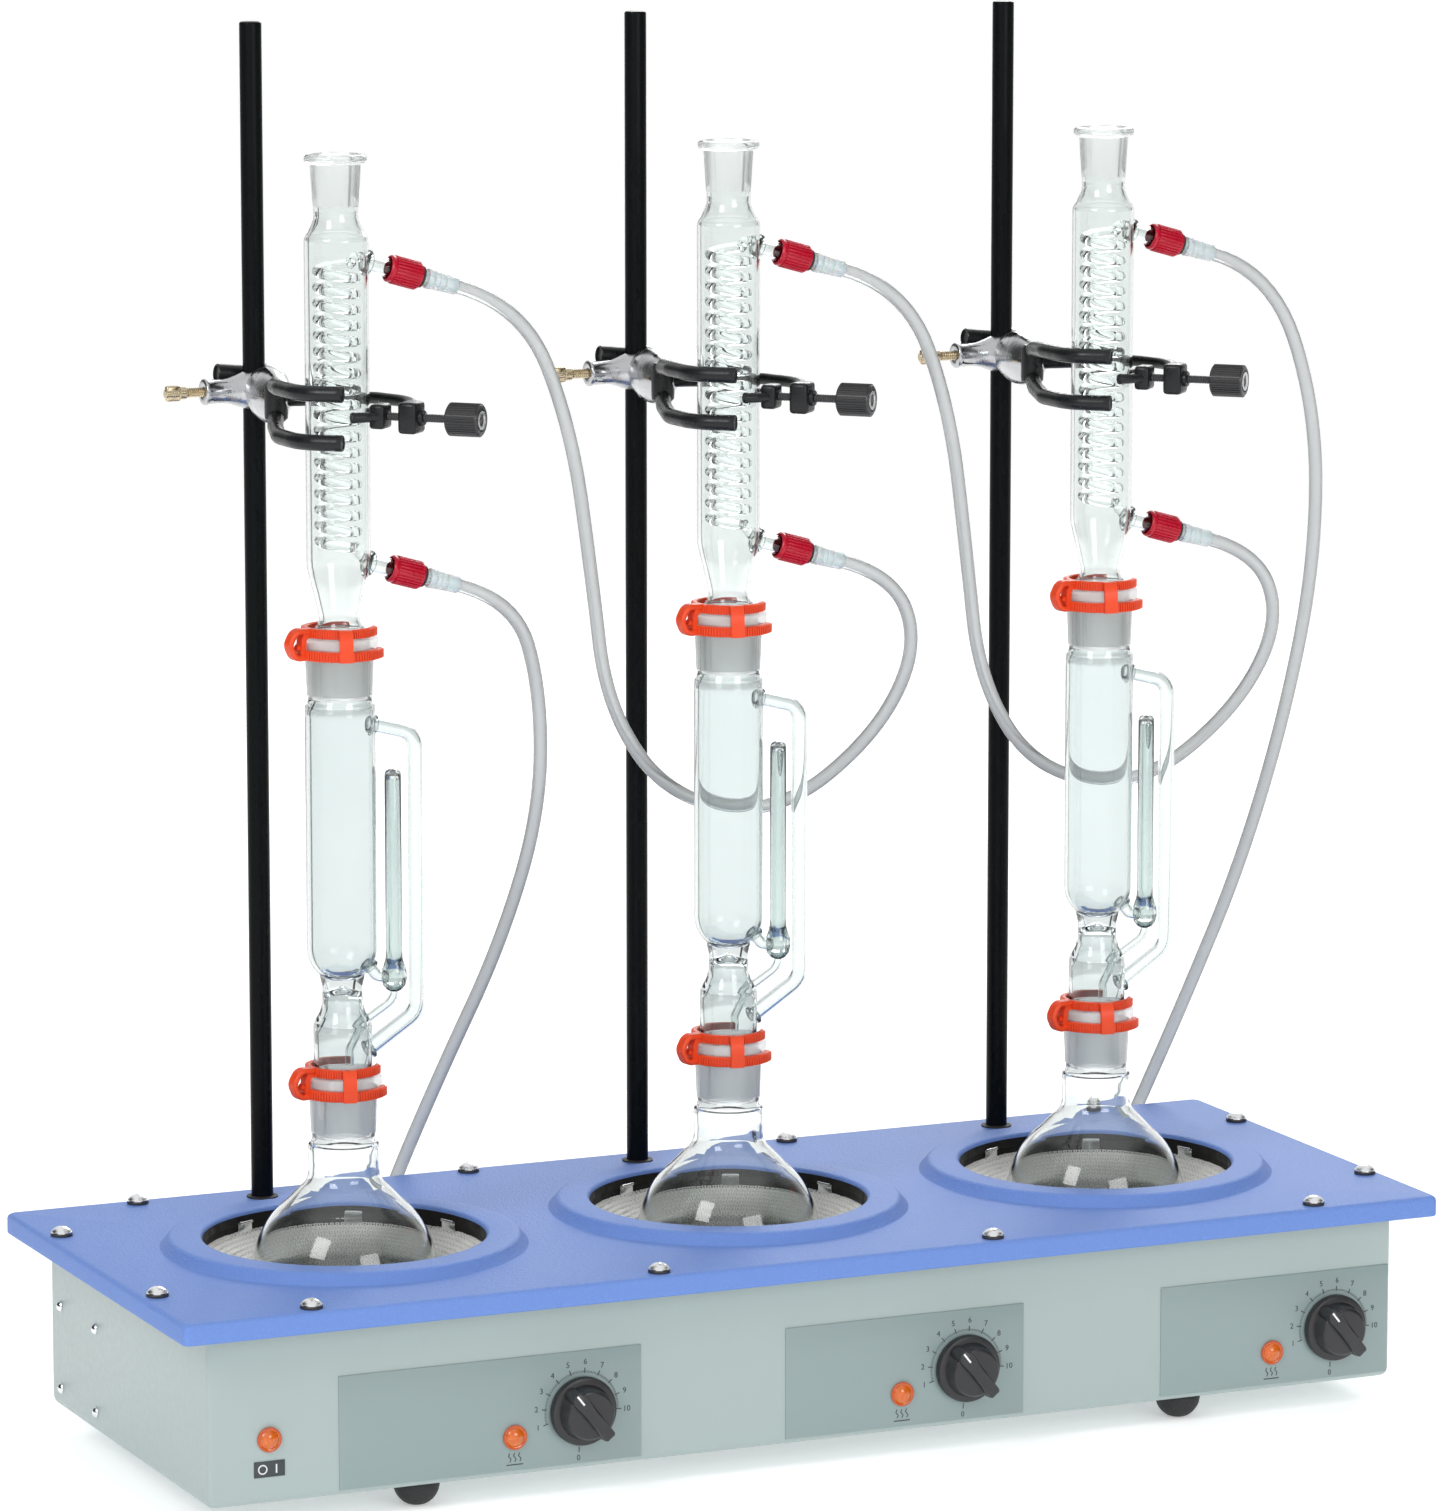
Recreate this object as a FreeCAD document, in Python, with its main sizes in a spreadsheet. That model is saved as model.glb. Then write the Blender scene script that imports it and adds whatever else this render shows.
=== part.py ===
"""Three-place Soxhlet extraction unit: heated base, upright rods, clamps, glassware, clips and hoses.

Millimetres, +Z up, the long side along X, the control side facing -Y.
The origin is on the bench, under the middle of the base.
"""
import FreeCAD, Part
import math
import os

DOC = FreeCAD.newDocument("soxhlet_unit")
SHEET = DOC.addObject("Spreadsheet::Sheet", "sizes")

DIMENSIONS = {
    # the places on the base
    "station_pitch": 237.0,
    "station_y": -4.0,
    # top plate: a shallow tray, turned down all round
    "plate_length": 772.0,
    "plate_depth": 300.0,
    "plate_top": 124.0,
    "plate_thickness": 2.0,
    "lip_height": 12.0,
    "plate_edge": 2.5,
    "ring_outer": 104.0,
    "ring_crest": 99.0,
    "ring_inner": 79.7,
    "ring_rise": 6.5,
    # case: folded sheet
    "case_length": 732.0,
    "case_depth": 260.0,
    "sheet": 1.5,
    "case_corner": 2.5,
    "flange": 14.0,
    "foot_height": 14.0,
    "foot_radius": 13.0,
    "foot_y": 111.0,
    # upright rods and the sockets in the back wall that hold them
    "rod_radius": 6.35,
    "rod_y": 127.6,
    "rod_top": 803.0,
    "rod_foot": 64.0,
    "rod_socket_radius": 9.5,
    # screws of the top plate
    "screw_x": 103.0,
    "screw_y": 140.0,
    "side_screw_x": 376.0,
    "side_screw_y": 80.0,
    "screw_head": 6.0,
    # controls
    "panel_height": 64.0,
    "panel_foot": 17.5,
    "panel_sheet": 0.6,
    "knob_x": 91.0,
    "knob_z": 47.8,
    "knob_radius": 19.4,
    "knob_depth": 18.0,
    "lamp_x": 50.8,
    "lamp_z": 36.5,
    "lamp_radius": 7.0,
    # heated wells
    "well_radius": 79.4,
    "well_foot": 34.0,
    "mantle_rim": 118.0,
    "mantle_bowl": 53.2,
    # glassware: heights of the two cone joints, their rims on top
    "low_joint": 221.7,
    "high_joint": 470.0,
    "joint_radius": 17.25,
    "joint_length": 35.0,
    "joint_taper": 0.05,
    "joint_gap": 0.12,
    "rim_radius": 21.8,
    "rim_height": 5.7,
    "glass_wall": 1.8,
    "flask_radius": 52.5,
    "flask_centre": 108.0,
    "flask_neck": 17.5,
    "lower_tube": 16.5,
    "waist_radius": 11.3,
    "barrel_radius": 19.7,
    "barrel_floor": 274.0,
    "side_tube": 4.7,
    "side_bore": 3.4,
    "vapour_x": 44.5,
    "siphon_x": 31.2,
    "siphon_top": 396.7,
    "jacket_radius": 17.9,
    "jacket_foot": 510.0,
    "jacket_top": 694.0,
    "neck_foot": 478.0,
    "socket_foot": 705.0,
    "condenser_top": 738.0,
    "coil_radius": 10.2,
    "coil_tube": 3.0,
    "coil_pitch": 8.8,
    # hose ports, caps and connectors
    "port_high": 682.5,
    "port_low": 515.0,
    "port_droop": 16.0,
    "port_radius": 5.6,
    "cap_start": 31.6,
    "cap_end": 51.4,
    "cap_radius": 8.2,
    "hose_start": 74.0,
    "hose_radius": 4.0,
    # clamps
    "clamp_z": 594.0,
    "grip_gap": 0.3,
    "prong_radius": 4.6,
    "thread_radius": 2.4,
}

for row, (alias, number) in enumerate(DIMENSIONS.items(), start=1):
    SHEET.set(f"A{row}", alias)
    SHEET.set(f"B{row}", str(number))
    SHEET.setAlias(f"B{row}", alias)
DOC.recompute()

STATIONS = {1: -1, 2: 0, 3: 1}
NODES = []


def size(alias):
    """A driving dimension, read back from the sheet."""
    return float(SHEET.get(alias))


def formula(text):
    """An expression with each alias written as a cell of the sheet."""
    words = str(text)
    for alias in sorted(DIMENSIONS, key=len, reverse=True):
        words = words.replace(alias, "<<" + str(list(DIMENSIONS).index(alias)) + ">>")
    for number, alias in enumerate(DIMENSIONS):
        words = words.replace("<<" + str(number) + ">>", "sizes." + alias)
    return words


def bind(thing, **properties):
    for name, text in properties.items():
        thing.setExpression(name.replace("_at_", "."), formula(text))
    return thing


def put(thing, x=0, y=0, z=0):
    """Places a piece by expressions on the sheet."""
    return bind(thing, Placement_at_Base_at_x=x, Placement_at_Base_at_y=y, Placement_at_Base_at_z=z)


def turn(thing, direction):
    """Turns a piece so that its own Z points along a direction."""
    thing.Placement.Rotation = FreeCAD.Rotation(FreeCAD.Vector(0, 0, 1), FreeCAD.Vector(*direction))
    return thing


def cylinder(radius, height, x=0, y=0, z=0, along=(0, 0, 1)):
    thing = turn(DOC.addObject("Part::Cylinder", "cylinder"), along)
    return put(bind(thing, Radius=radius, Height=height), x, y, z)


def cone(radius_low, radius_high, height, x=0, y=0, z=0, along=(0, 0, 1)):
    thing = turn(DOC.addObject("Part::Cone", "cone"), along)
    return put(bind(thing, Radius1=radius_low, Radius2=radius_high, Height=height), x, y, z)


def ball(radius, x=0, y=0, z=0):
    return put(bind(DOC.addObject("Part::Sphere", "ball"), Radius=radius), x, y, z)


def block(length, width, height, x=0, y=0, z=0):
    """A box centred on x and y, standing on z."""
    thing = bind(DOC.addObject("Part::Box", "block"), Length=length, Width=width, Height=height)
    return put(thing, f"({x}) - ({length}) / 2", f"({y}) - ({width}) / 2", z)


def fuse(*things):
    thing = DOC.addObject("Part::MultiFuse", "fused")
    thing.Shapes = list(things)
    return thing


def cut(base, *tools):
    thing = DOC.addObject("Part::Cut", "cut")
    thing.Base = base
    thing.Tool = tools[0] if len(tools) == 1 else fuse(*tools)
    return thing


def group(*things):
    thing = DOC.addObject("Part::Compound", "group")
    thing.Links = list(things)
    return thing


def rounded(thing, radius, chosen):
    """Rounds the edges that a test picks by their middle point."""
    DOC.recompute()
    made = DOC.addObject("Part::Fillet", "rounded")
    made.Base = thing
    edges = []
    for number, edge in enumerate(thing.Shape.Edges, start=1):
        if chosen(edge.CenterOfMass):
            edges.append((number, size(radius), size(radius)))
    made.Edges = edges
    return made


def node(name, thing, station=None):
    """Names a finished sub-part, and moves it to its station."""
    thing.Label = name
    if station is not None:
        bind(thing, Placement_at_Base_at_x=f"station_pitch * {STATIONS[station]}",
             Placement_at_Base_at_y="station_y")
    NODES.append(thing)
    return thing


def route_wire(points, arc_share=0.45):
    """Straight runs joined by tangent arcs, each as large as its two runs allow."""
    corners = [FreeCAD.Vector(*point) for point in points]
    edges = []
    radii = []
    start = corners[0]
    for before, corner, after in zip(corners, corners[1:], corners[2:]):
        back = (before - corner).normalize()
        ahead = (after - corner).normalize()
        half_turn = (math.pi - back.getAngle(ahead)) / 2
        reach = arc_share * min(before.distanceToPoint(corner), corner.distanceToPoint(after))
        radius = reach / math.tan(half_turn)
        radii.append(radius)
        enter = corner + back * reach
        leave = corner + ahead * reach
        middle = (back + ahead).normalize()
        top = corner + middle * (radius / math.cos(half_turn) - radius)
        edges.append(Part.LineSegment(start, enter).toShape())
        edges.append(Part.Arc(enter, top, leave).toShape())
        start = leave
    edges.append(Part.LineSegment(start, corners[-1]).toShape())
    return Part.Wire(edges), radii


def bent_tube(points, radius, arc_share=0.45):
    """A round bar or tube swept along a route."""
    wire, radii = route_wire(points, arc_share)
    spine = DOC.addObject("Part::Feature", "spine")
    spine.Shape = wire
    section = bind(DOC.addObject("Part::Circle", "section"), Radius=radius)
    heading = FreeCAD.Vector(*points[1]) - FreeCAD.Vector(*points[0])
    section.Placement = FreeCAD.Placement(
        FreeCAD.Vector(*points[0]), FreeCAD.Rotation(FreeCAD.Vector(0, 0, 1), heading))
    tube = DOC.addObject("Part::Sweep", "tube")
    tube.Sections = [section]
    tube.Spine = (spine, [f"Edge{number}" for number in range(1, len(wire.Edges) + 1)])
    tube.Solid = True
    tube.Frenet = False
    return tube, wire, radii


# ---------------------------------------------------------------- base

def make_top_plate():
    """Pressed tray with three raised rings round the wells, and holes for rods and screws."""
    slab = block("plate_length", "plate_depth", "lip_height", z="plate_top - lip_height")
    slab = rounded(slab, "plate_edge", lambda at: at.z > size("plate_top") - size("lip_height") + 1)
    hollow = block("plate_length - 2 * plate_thickness", "plate_depth - 2 * plate_thickness",
                   "lip_height - plate_thickness", z="plate_top - lip_height")
    tray = cut(slab, hollow)
    added = [tray]
    removed = []
    for side in STATIONS.values():
        x = f"station_pitch * {side}"
        added.append(cone("ring_outer", "ring_crest", "ring_rise", x, "station_y", "plate_top"))
        removed.append(cone("ring_outer - plate_thickness", "ring_crest - plate_thickness", "ring_rise",
                            x, "station_y", "plate_top - plate_thickness"))
        removed.append(cylinder("ring_inner", "ring_rise + 4", x, "station_y", "plate_top - 3"))
        removed.append(cylinder("rod_radius + 0.5", 8, x, "rod_y", "plate_top - 4"))
    for x, y in screw_places():
        removed.append(cylinder(2.2, 8, x, y, "plate_top - 4"))
    return cut(fuse(*added), *removed)


def screw_places():
    places = []
    for y in ("screw_y", "-screw_y"):
        for times in (-3, -1, 1, 3):
            places.append((f"screw_x * {times}", y))
    for x in ("side_screw_x", "-side_screw_x"):
        for y in ("side_screw_y", "-side_screw_y"):
            places.append((x, y))
    return places


def make_case():
    """Folded sheet tray with a flange all round and three rod sockets welded to its back wall."""
    inside = "plate_top - plate_thickness - foot_height"
    outer = block("case_length", "case_depth", inside, z="foot_height")
    outer = rounded(outer, "case_corner", lambda at: at.z < size("plate_top") - size("plate_thickness") - 1)
    flange = block("case_length + 2 * flange", "case_depth + 2 * flange", "sheet",
                   z="plate_top - plate_thickness - sheet")
    hollow = block("case_length - 2 * sheet", "case_depth - 2 * sheet", inside, z="foot_height + sheet")
    shell = cut(fuse(outer, flange), hollow)
    sockets = []
    holes = []
    for side in STATIONS.values():
        x = f"station_pitch * {side}"
        sockets.append(cylinder("rod_socket_radius", "plate_top - plate_thickness - rod_foot + 4",
                                x, "rod_y", "rod_foot - 4"))
        holes.append(cylinder("rod_radius + 0.05", "plate_top - rod_foot", x, "rod_y", "rod_foot"))
        front = (0, -1, 0)
        holes.append(cylinder(3.6, 8, f"{x} + knob_x", "4 - case_depth / 2", "knob_z", front))
        holes.append(cylinder(5, 8, f"{x} + lamp_x", "4 - case_depth / 2", "lamp_z", front))
    holes.append(cylinder(5, 8, MAIN_LAMP_X, "4 - case_depth / 2", MAIN_LAMP_Z, (0, -1, 0)))
    for y in END_SCREW_Y:
        for z in END_SCREW_Z:
            holes.append(cylinder(1.8, 8, "-4 - case_length / 2", y, z, (1, 0, 0)))
    for x, y in screw_places():
        holes.append(cylinder(2.0, 6, x, y, "plate_top - plate_thickness - 4"))
    for x, y in foot_places():
        holes.append(cylinder(2.6, 6, x, y, "foot_height - 2"))
    holes.append(block(27, 12, 20, INLET_X, "case_depth / 2", INLET_Z))
    return cut(fuse(shell, *sockets), *holes)


MAIN_LAMP_X = -330.6
MAIN_LAMP_Z = 50.5
END_SCREW_Y = (53, 113)
END_SCREW_Z = (26.5, 74.7)
INLET_X = -290
INLET_Z = 40


def foot_places():
    return [(f"station_pitch * {x}", f"foot_y * {y}") for x in (-1, 1) for y in (-1, 1)]


def make_feet():
    """Round rubber feet, flat where they touch the bench, with a stem through the case floor."""
    feet = []
    for x, y in foot_places():
        bulb = DOC.addObject("Part::Common", "bulb")
        bulb.Base = ball("foot_radius", x, y, "foot_height - 2")
        bulb.Tool = cylinder("foot_radius + 1", "foot_height", x, y)
        feet.append(fuse(bulb, cylinder(2.5, 4, x, y, "foot_height - 1")))
    return group(*feet)


def make_plate_screws():
    """Pan head screws with a skirted washer."""
    screws = []
    for x, y in screw_places():
        washer = cylinder("screw_head + 0.2", 1.8, x, y, "plate_top")
        head = cone("screw_head", "screw_head - 2", 2.8, x, y, "plate_top + 1.8")
        shank = cylinder(1.95, 9, x, y, "plate_top - 8.5")
        screws.append(fuse(washer, head, shank))
    return group(*screws)


def make_end_screws():
    """Small screws that hold the terminal bracket to the left end of the case."""
    screws = []
    for y in END_SCREW_Y:
        for z in END_SCREW_Z:
            head = cone(3.2, 2.2, 1.8, "-case_length / 2", y, z, (-1, 0, 0))
            shank = cylinder(1.7, 6, "-case_length / 2 - 0.2", y, z, (1, 0, 0))
            screws.append(fuse(head, shank))
    return group(*screws)


PANEL_SPANS = {1: (-290.0, -110.0), 2: (-21.5, 127.5), 3: (215.5, 364.0)}


def make_control_panels():
    """Thin printed plates behind the knobs."""
    panels = []
    for station, (left, right) in PANEL_SPANS.items():
        plate = block(right - left, "panel_sheet", "panel_height", (left + right) / 2,
                      "-(case_depth + panel_sheet) / 2", "panel_foot")
        x = f"station_pitch * {STATIONS[station]}"
        shaft_hole = cylinder(3.6, 4, f"{x} + knob_x", "2 - case_depth / 2", "knob_z", (0, -1, 0))
        lamp_hole = cylinder(5, 4, f"{x} + lamp_x", "2 - case_depth / 2", "lamp_z", (0, -1, 0))
        panels.append(cut(plate, shaft_hole, lamp_hole))
    return group(*panels)


def make_pilot_lamps():
    """Neon lamps: a domed lens outside, a barrel through the case wall."""
    lamps = []
    places = [(f"station_pitch * {side} + lamp_x", "lamp_z", "panel_sheet") for side in STATIONS.values()]
    places.append((MAIN_LAMP_X, MAIN_LAMP_Z, "0"))
    for x, z, behind in places:
        face = f"-case_depth / 2 - {behind}"
        lens = cone("lamp_radius", "lamp_radius - 2", 3, x, face, z, (0, -1, 0))
        barrel = cylinder(4.8, 20, x, face, z, (0, 1, 0))
        lamps.append(fuse(lens, barrel))
    return group(*lamps)


def make_energy_regulators():
    """Power regulators behind the front wall, each bored for the knob's spindle."""
    regulators = []
    for side in STATIONS.values():
        x = f"station_pitch * {side} + knob_x"
        body = block(36, 30, 36, x, "20 - case_depth / 2", "knob_z - 18")
        bore = cylinder(3.06, 16, x, "18 - case_depth / 2", "knob_z", (0, -1, 0))
        regulators.append(cut(body, bore))
    return group(*regulators)


def make_mains_inlet():
    """Panel socket for the mains lead, in the back wall."""
    face = block(34, 3, 28, INLET_X, "case_depth / 2 + 1.5", INLET_Z - 4)
    body = block(26.6, 24, 19.6, INLET_X, "case_depth / 2 - 11", INLET_Z + 0.2)
    mouth = block(22, 18, 14, INLET_X, "case_depth / 2 - 3", INLET_Z + 3)
    return cut(fuse(face, body), mouth)


def make_well_liners():
    """Black steel pots hung under the rings."""
    liners = []
    for side in STATIONS.values():
        x = f"station_pitch * {side}"
        under = "plate_top + ring_rise - plate_thickness"
        pot = cylinder("well_radius + 2", f"{under} - well_foot - 0.1", x, "station_y", "well_foot")
        rim = cylinder("ring_crest - 6", 1.2, x, "station_y", f"{under} - 1.3")
        hollow = cylinder("well_radius + 0.8", f"{under} - well_foot", x, "station_y", "well_foot + 1.2")
        liners.append(cut(fuse(pot, rim), hollow))
    return group(*liners)


def make_liner_clips():
    """Spring clips on the wall of each liner, above the rim of the mantle."""
    clips = []
    for side in STATIONS.values():
        for angle in (20, 65, 115, 200, 245, 295):
            x = f"station_pitch * {side} + (well_radius - 0.4) * cos({angle})"
            y = f"station_y + (well_radius - 0.4) * sin({angle})"
            clip = bind(DOC.addObject("Part::Box", "clip"), Length=1.4, Width=11, Height=6.5)
            clip.Placement.Rotation = FreeCAD.Rotation(FreeCAD.Vector(0, 0, 1), angle)
            back = f"5.5 * sin({angle})"
            side_step = f"-5.5 * cos({angle})"
            clips.append(put(clip, f"{x} + {back}", f"{y} + {side_step}", "mantle_rim + 0.4"))
    return group(*clips)


def make_heating_mantles():
    """Knitted element and its wool backing: a bowl that fits the flask, with a sloping shoulder."""
    mantles = []
    for side in STATIONS.values():
        x = f"station_pitch * {side}"
        plug = cylinder("well_radius + 0.4", "mantle_rim - well_foot - 1.4", x, "station_y", "well_foot + 1.4")
        bowl = ball("mantle_bowl", x, "station_y", "flask_centre")
        shoulder = cone("mantle_bowl", "well_radius - 1", "mantle_rim - flask_centre", x, "station_y",
                        "flask_centre + 0.01")
        mantles.append(cut(plug, bowl, shoulder))
    return group(*mantles)


def make_upright_rods():
    rods = []
    for side in STATIONS.values():
        x = f"station_pitch * {side}"
        bar = cylinder("rod_radius", "rod_top - rod_foot - 1.2", x, "rod_y", "rod_foot")
        tip = cone("rod_radius", "rod_radius - 1.2", 1.2, x, "rod_y", "rod_top - 1.2")
        rods.append(fuse(bar, tip))
    return group(*rods)


def make_control_knob(station):
    """Skirted pointer knob and the spindle that it turns; the pointer rests at four on the dial."""
    front = (0, -1, 0)
    x = f"station_pitch * {STATIONS[station]} + knob_x"
    base = "-case_depth / 2 - panel_sheet - 0.6"
    skirt = cone("knob_radius", "knob_radius - 1.5", 4.5, x, base, "knob_z", front)
    boss = cone("knob_radius - 4", "knob_radius - 6", "knob_depth", x, base, "knob_z", front)
    bar = bind(DOC.addObject("Part::Box", "bar"), Length="knob_radius * 2 - 3", Width="knob_depth", Height=9)
    bar.Placement.Rotation = FreeCAD.Rotation(FreeCAD.Vector(0, -1, 0), POINTER_REST)
    half = size("knob_radius") - 1.5
    lean = math.radians(POINTER_REST)
    corner_x = -half * math.cos(lean) + 4.5 * math.sin(lean)
    corner_z = -half * math.sin(lean) - 4.5 * math.cos(lean)
    put(bar, f"{x} + ({corner_x})", f"{base} - knob_depth", f"knob_z + ({corner_z})")
    spindle = cylinder(3, 14, x, f"{base} + 13.9", "knob_z", front)
    return group(fuse(skirt, boss, bar), spindle)


POINTER_REST = 128.5


# ---------------------------------------------------------------- glassware, drawn on the station's axis

def socket(top, low_radius, outer_foot):
    """Outer form of a ground socket: tapered wall and a rim."""
    wall = cone(low_radius, "rim_radius - 2.4", f"{top} - ({outer_foot})", z=outer_foot)
    rim = cylinder("rim_radius", "rim_height", z=f"{top} - rim_height")
    return [wall, rim]


def socket_bore(top):
    """Taper that receives the cone of the piece above."""
    return cone("joint_radius - joint_length * joint_taper", "joint_radius", "joint_length",
                z=f"{top} - joint_length")


def male_cone(top):
    """Ground cone that hangs in the socket below it."""
    return cone("joint_radius - joint_gap - (joint_length - 1) * joint_taper",
                "joint_radius - joint_gap + joint_taper", "joint_length", z=f"{top} - joint_length + 1")


def make_flask():
    """Round-bottomed boiling flask."""
    outer = [ball("flask_radius", z="flask_centre"),
             cylinder("flask_neck", "low_joint - flask_centre - 40", z="flask_centre + 40 - 5")]
    outer += socket("low_joint", "joint_radius - joint_length * joint_taper + 2.8", "low_joint - joint_length - 5")
    inner = [ball("flask_radius - glass_wall", z="flask_centre"),
             cylinder("flask_neck - glass_wall - 0.4", "low_joint - flask_centre - 41", z="flask_centre + 40"),
             socket_bore("low_joint")]
    return cut(fuse(*outer), *inner)


def vapour_route():
    reach = size("vapour_x")
    return [(9, 0, 231), (reach, 0, 255), (reach, 0, 404), (13, 0, 423)]


def siphon_route():
    reach = size("siphon_x")
    return [(12, 0, 281), (reach, 0, 279), (reach, 0, size("siphon_top") - 4)]


def return_route():
    reach = size("siphon_x")
    return [(reach, 0, 276), (reach, 0, 260), (9, 0, 246)]


def make_extractor():
    """Extractor: barrel with a round floor, vapour side arm and siphon, over a tube with a ground cone."""
    wall = "glass_wall"
    tube_top = "low_joint + 28"
    outer = [male_cone("low_joint"),
             cylinder("lower_tube", f"{tube_top} - low_joint - 1", z="low_joint + 1"),
             cone("lower_tube", "waist_radius", 16, z=tube_top),
             cylinder("waist_radius", "barrel_floor - low_joint - 36", z=f"{tube_top} + 10"),
             ball("barrel_radius", z="barrel_floor + barrel_radius"),
             cylinder("barrel_radius", "high_joint - joint_length - barrel_floor - barrel_radius",
                      z="barrel_floor + barrel_radius")]
    outer += socket("high_joint", "joint_radius - joint_length * joint_taper + 2.8", "high_joint - joint_length - 5")
    vapour, _, _ = bent_tube(vapour_route(), "side_tube")
    siphon, _, _ = bent_tube(siphon_route(), "side_tube")
    runback, _, _ = bent_tube(return_route(), "side_bore")
    siphon_cap = ball("side_tube", x="siphon_x", z="siphon_top - 4.2")
    inner = [cylinder(f"joint_radius - joint_length * joint_taper - 2.2", "joint_length + 10",
                      z="low_joint - joint_length"),
             cylinder(f"lower_tube - {wall}", f"{tube_top} - low_joint - 4", z="low_joint + 4"),
             cone(f"lower_tube - {wall}", f"waist_radius - {wall}", 16, z=tube_top),
             ball(f"barrel_radius - {wall}", z="barrel_floor + barrel_radius"),
             cylinder(f"barrel_radius - {wall}", "high_joint - 2 - barrel_floor - barrel_radius - joint_length",
                      z="barrel_floor + barrel_radius"),
             cylinder("joint_radius - joint_length * joint_taper", 6, z="high_joint - joint_length - 5"),
             socket_bore("high_joint")]
    vapour_bore, _, _ = bent_tube(vapour_route(), "side_bore")
    siphon_bore, _, _ = bent_tube(siphon_route(), "side_bore")
    shell = fuse(*outer, vapour, siphon, siphon_cap, runback)
    return cut(shell, *inner, vapour_bore, siphon_bore)


def port_direction():
    droop = math.radians(size("port_droop"))
    return math.cos(droop), 0.0, -math.sin(droop)


def along_port(height, distance):
    """A point on a port's axis, by expressions on the sheet."""
    return f"({distance}) * cos(port_droop)", "0", f"{height} - ({distance}) * sin(port_droop)"


def port_cylinder(radius, start, end, height):
    return cylinder(radius, f"({end}) - ({start})", *along_port(height, start), port_direction())


def make_condenser():
    """Jacketed condenser: cone below, straight jacket, ground socket above, and two hose arms."""
    neck = "waist_radius + 0.2"
    outer = [male_cone("high_joint"),
             cone("joint_radius - joint_gap", neck, "neck_foot - high_joint - 1", z="high_joint + 1"),
             cone(neck, "jacket_radius", "jacket_foot - neck_foot", z="neck_foot"),
             cylinder("jacket_radius", "jacket_top - jacket_foot", z="jacket_foot"),
             cone("jacket_radius", 12.4, "socket_foot - jacket_top", z="jacket_top"),
             cone(12.4, 14.2, "condenser_top - socket_foot", z="socket_foot"),
             cylinder(16.1, 5.6, z="condenser_top - 5.6")]
    outer += [port_cylinder("port_radius", 14, 46, height) for height in ("port_high", "port_low")]
    inner = [cylinder("joint_radius - joint_length * joint_taper - 2.4", "joint_length",
                      z="high_joint - joint_length"),
             cone("joint_radius - joint_length * joint_taper - 2.4", f"{neck} - 2", "neck_foot - high_joint",
                  z="high_joint"),
             cone(f"{neck} - 2", "jacket_radius - glass_wall", "jacket_foot - neck_foot", z="neck_foot"),
             cylinder("jacket_radius - glass_wall", "jacket_top - jacket_foot", z="jacket_foot"),
             cone("jacket_radius - glass_wall", 10.6, "socket_foot - jacket_top", z="jacket_top"),
             cone(10.55, 12, "condenser_top - socket_foot", z="socket_foot")]
    inner += [port_cylinder("side_bore", 14, 47, height) for height in ("port_high", "port_low")]
    return cut(fuse(*outer), *inner)


def make_condenser_coils():
    """Wound cooling tubes inside the jackets."""
    coils = []
    for side in STATIONS.values():
        turns = (size("jacket_top") - 18 - size("jacket_foot") - 8) / size("coil_pitch")
        helix = DOC.addObject("Part::Helix", "helix")
        bind(helix, Pitch="coil_pitch", Height=f"coil_pitch * {math.floor(turns)}", Radius="coil_radius")
        section = bind(DOC.addObject("Part::Circle", "section"), Radius="coil_tube")
        section.Placement = FreeCAD.Placement(
            FreeCAD.Vector(size("coil_radius"), 0, 0),
            FreeCAD.Rotation(FreeCAD.Vector(0, 0, 1), FreeCAD.Vector(0, 1, 0)))
        coil = DOC.addObject("Part::Sweep", "coil")
        coil.Sections = [section]
        DOC.recompute()
        coil.Spine = (helix, [f"Edge{number}" for number in range(1, len(helix.Shape.Edges) + 1)])
        coil.Solid = True
        coil.Frenet = True
        put(coil, f"station_pitch * {side}", "station_y", "jacket_foot + 8")
        coils.append(coil)
    return group(*coils)


def make_cap(height):
    """Ribbed screw cap on a hose arm."""
    body = port_cylinder("cap_radius", "cap_start", "cap_end", height)
    bore = port_cylinder("port_radius + 0.6", "cap_start - 1", 47, height)
    mouth = port_cylinder(4.3, 46, "cap_end + 1", height)
    return cut(body, bore, mouth)


def make_hose_connectors():
    """Barbed connectors, each with its sealing washer, that carry the hoses."""
    pieces = []
    for side in STATIONS.values():
        for height in ("port_high", "port_low"):
            washer = cut(port_cylinder(6.15, "cap_end + 0.1", "cap_end + 1.8", height),
                         port_cylinder(4.0, "cap_end", "cap_end + 2", height))
            neck = port_cylinder(3.9, 46.5, 56, height)
            flange = port_cylinder(5.7, 55.4, 59, height)
            barrel = cone(5.45, 4.9, "hose_start - 59", *along_port(height, 59), port_direction())
            bore = port_cylinder(2.4, 46, "hose_start + 1", height)
            stem = cut(fuse(neck, flange, barrel), bore)
            for piece in (washer, stem):
                pair = group(piece)
                pieces.append(put(pair, f"station_pitch * {side}", "station_y"))
    return group(*pieces)


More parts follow.
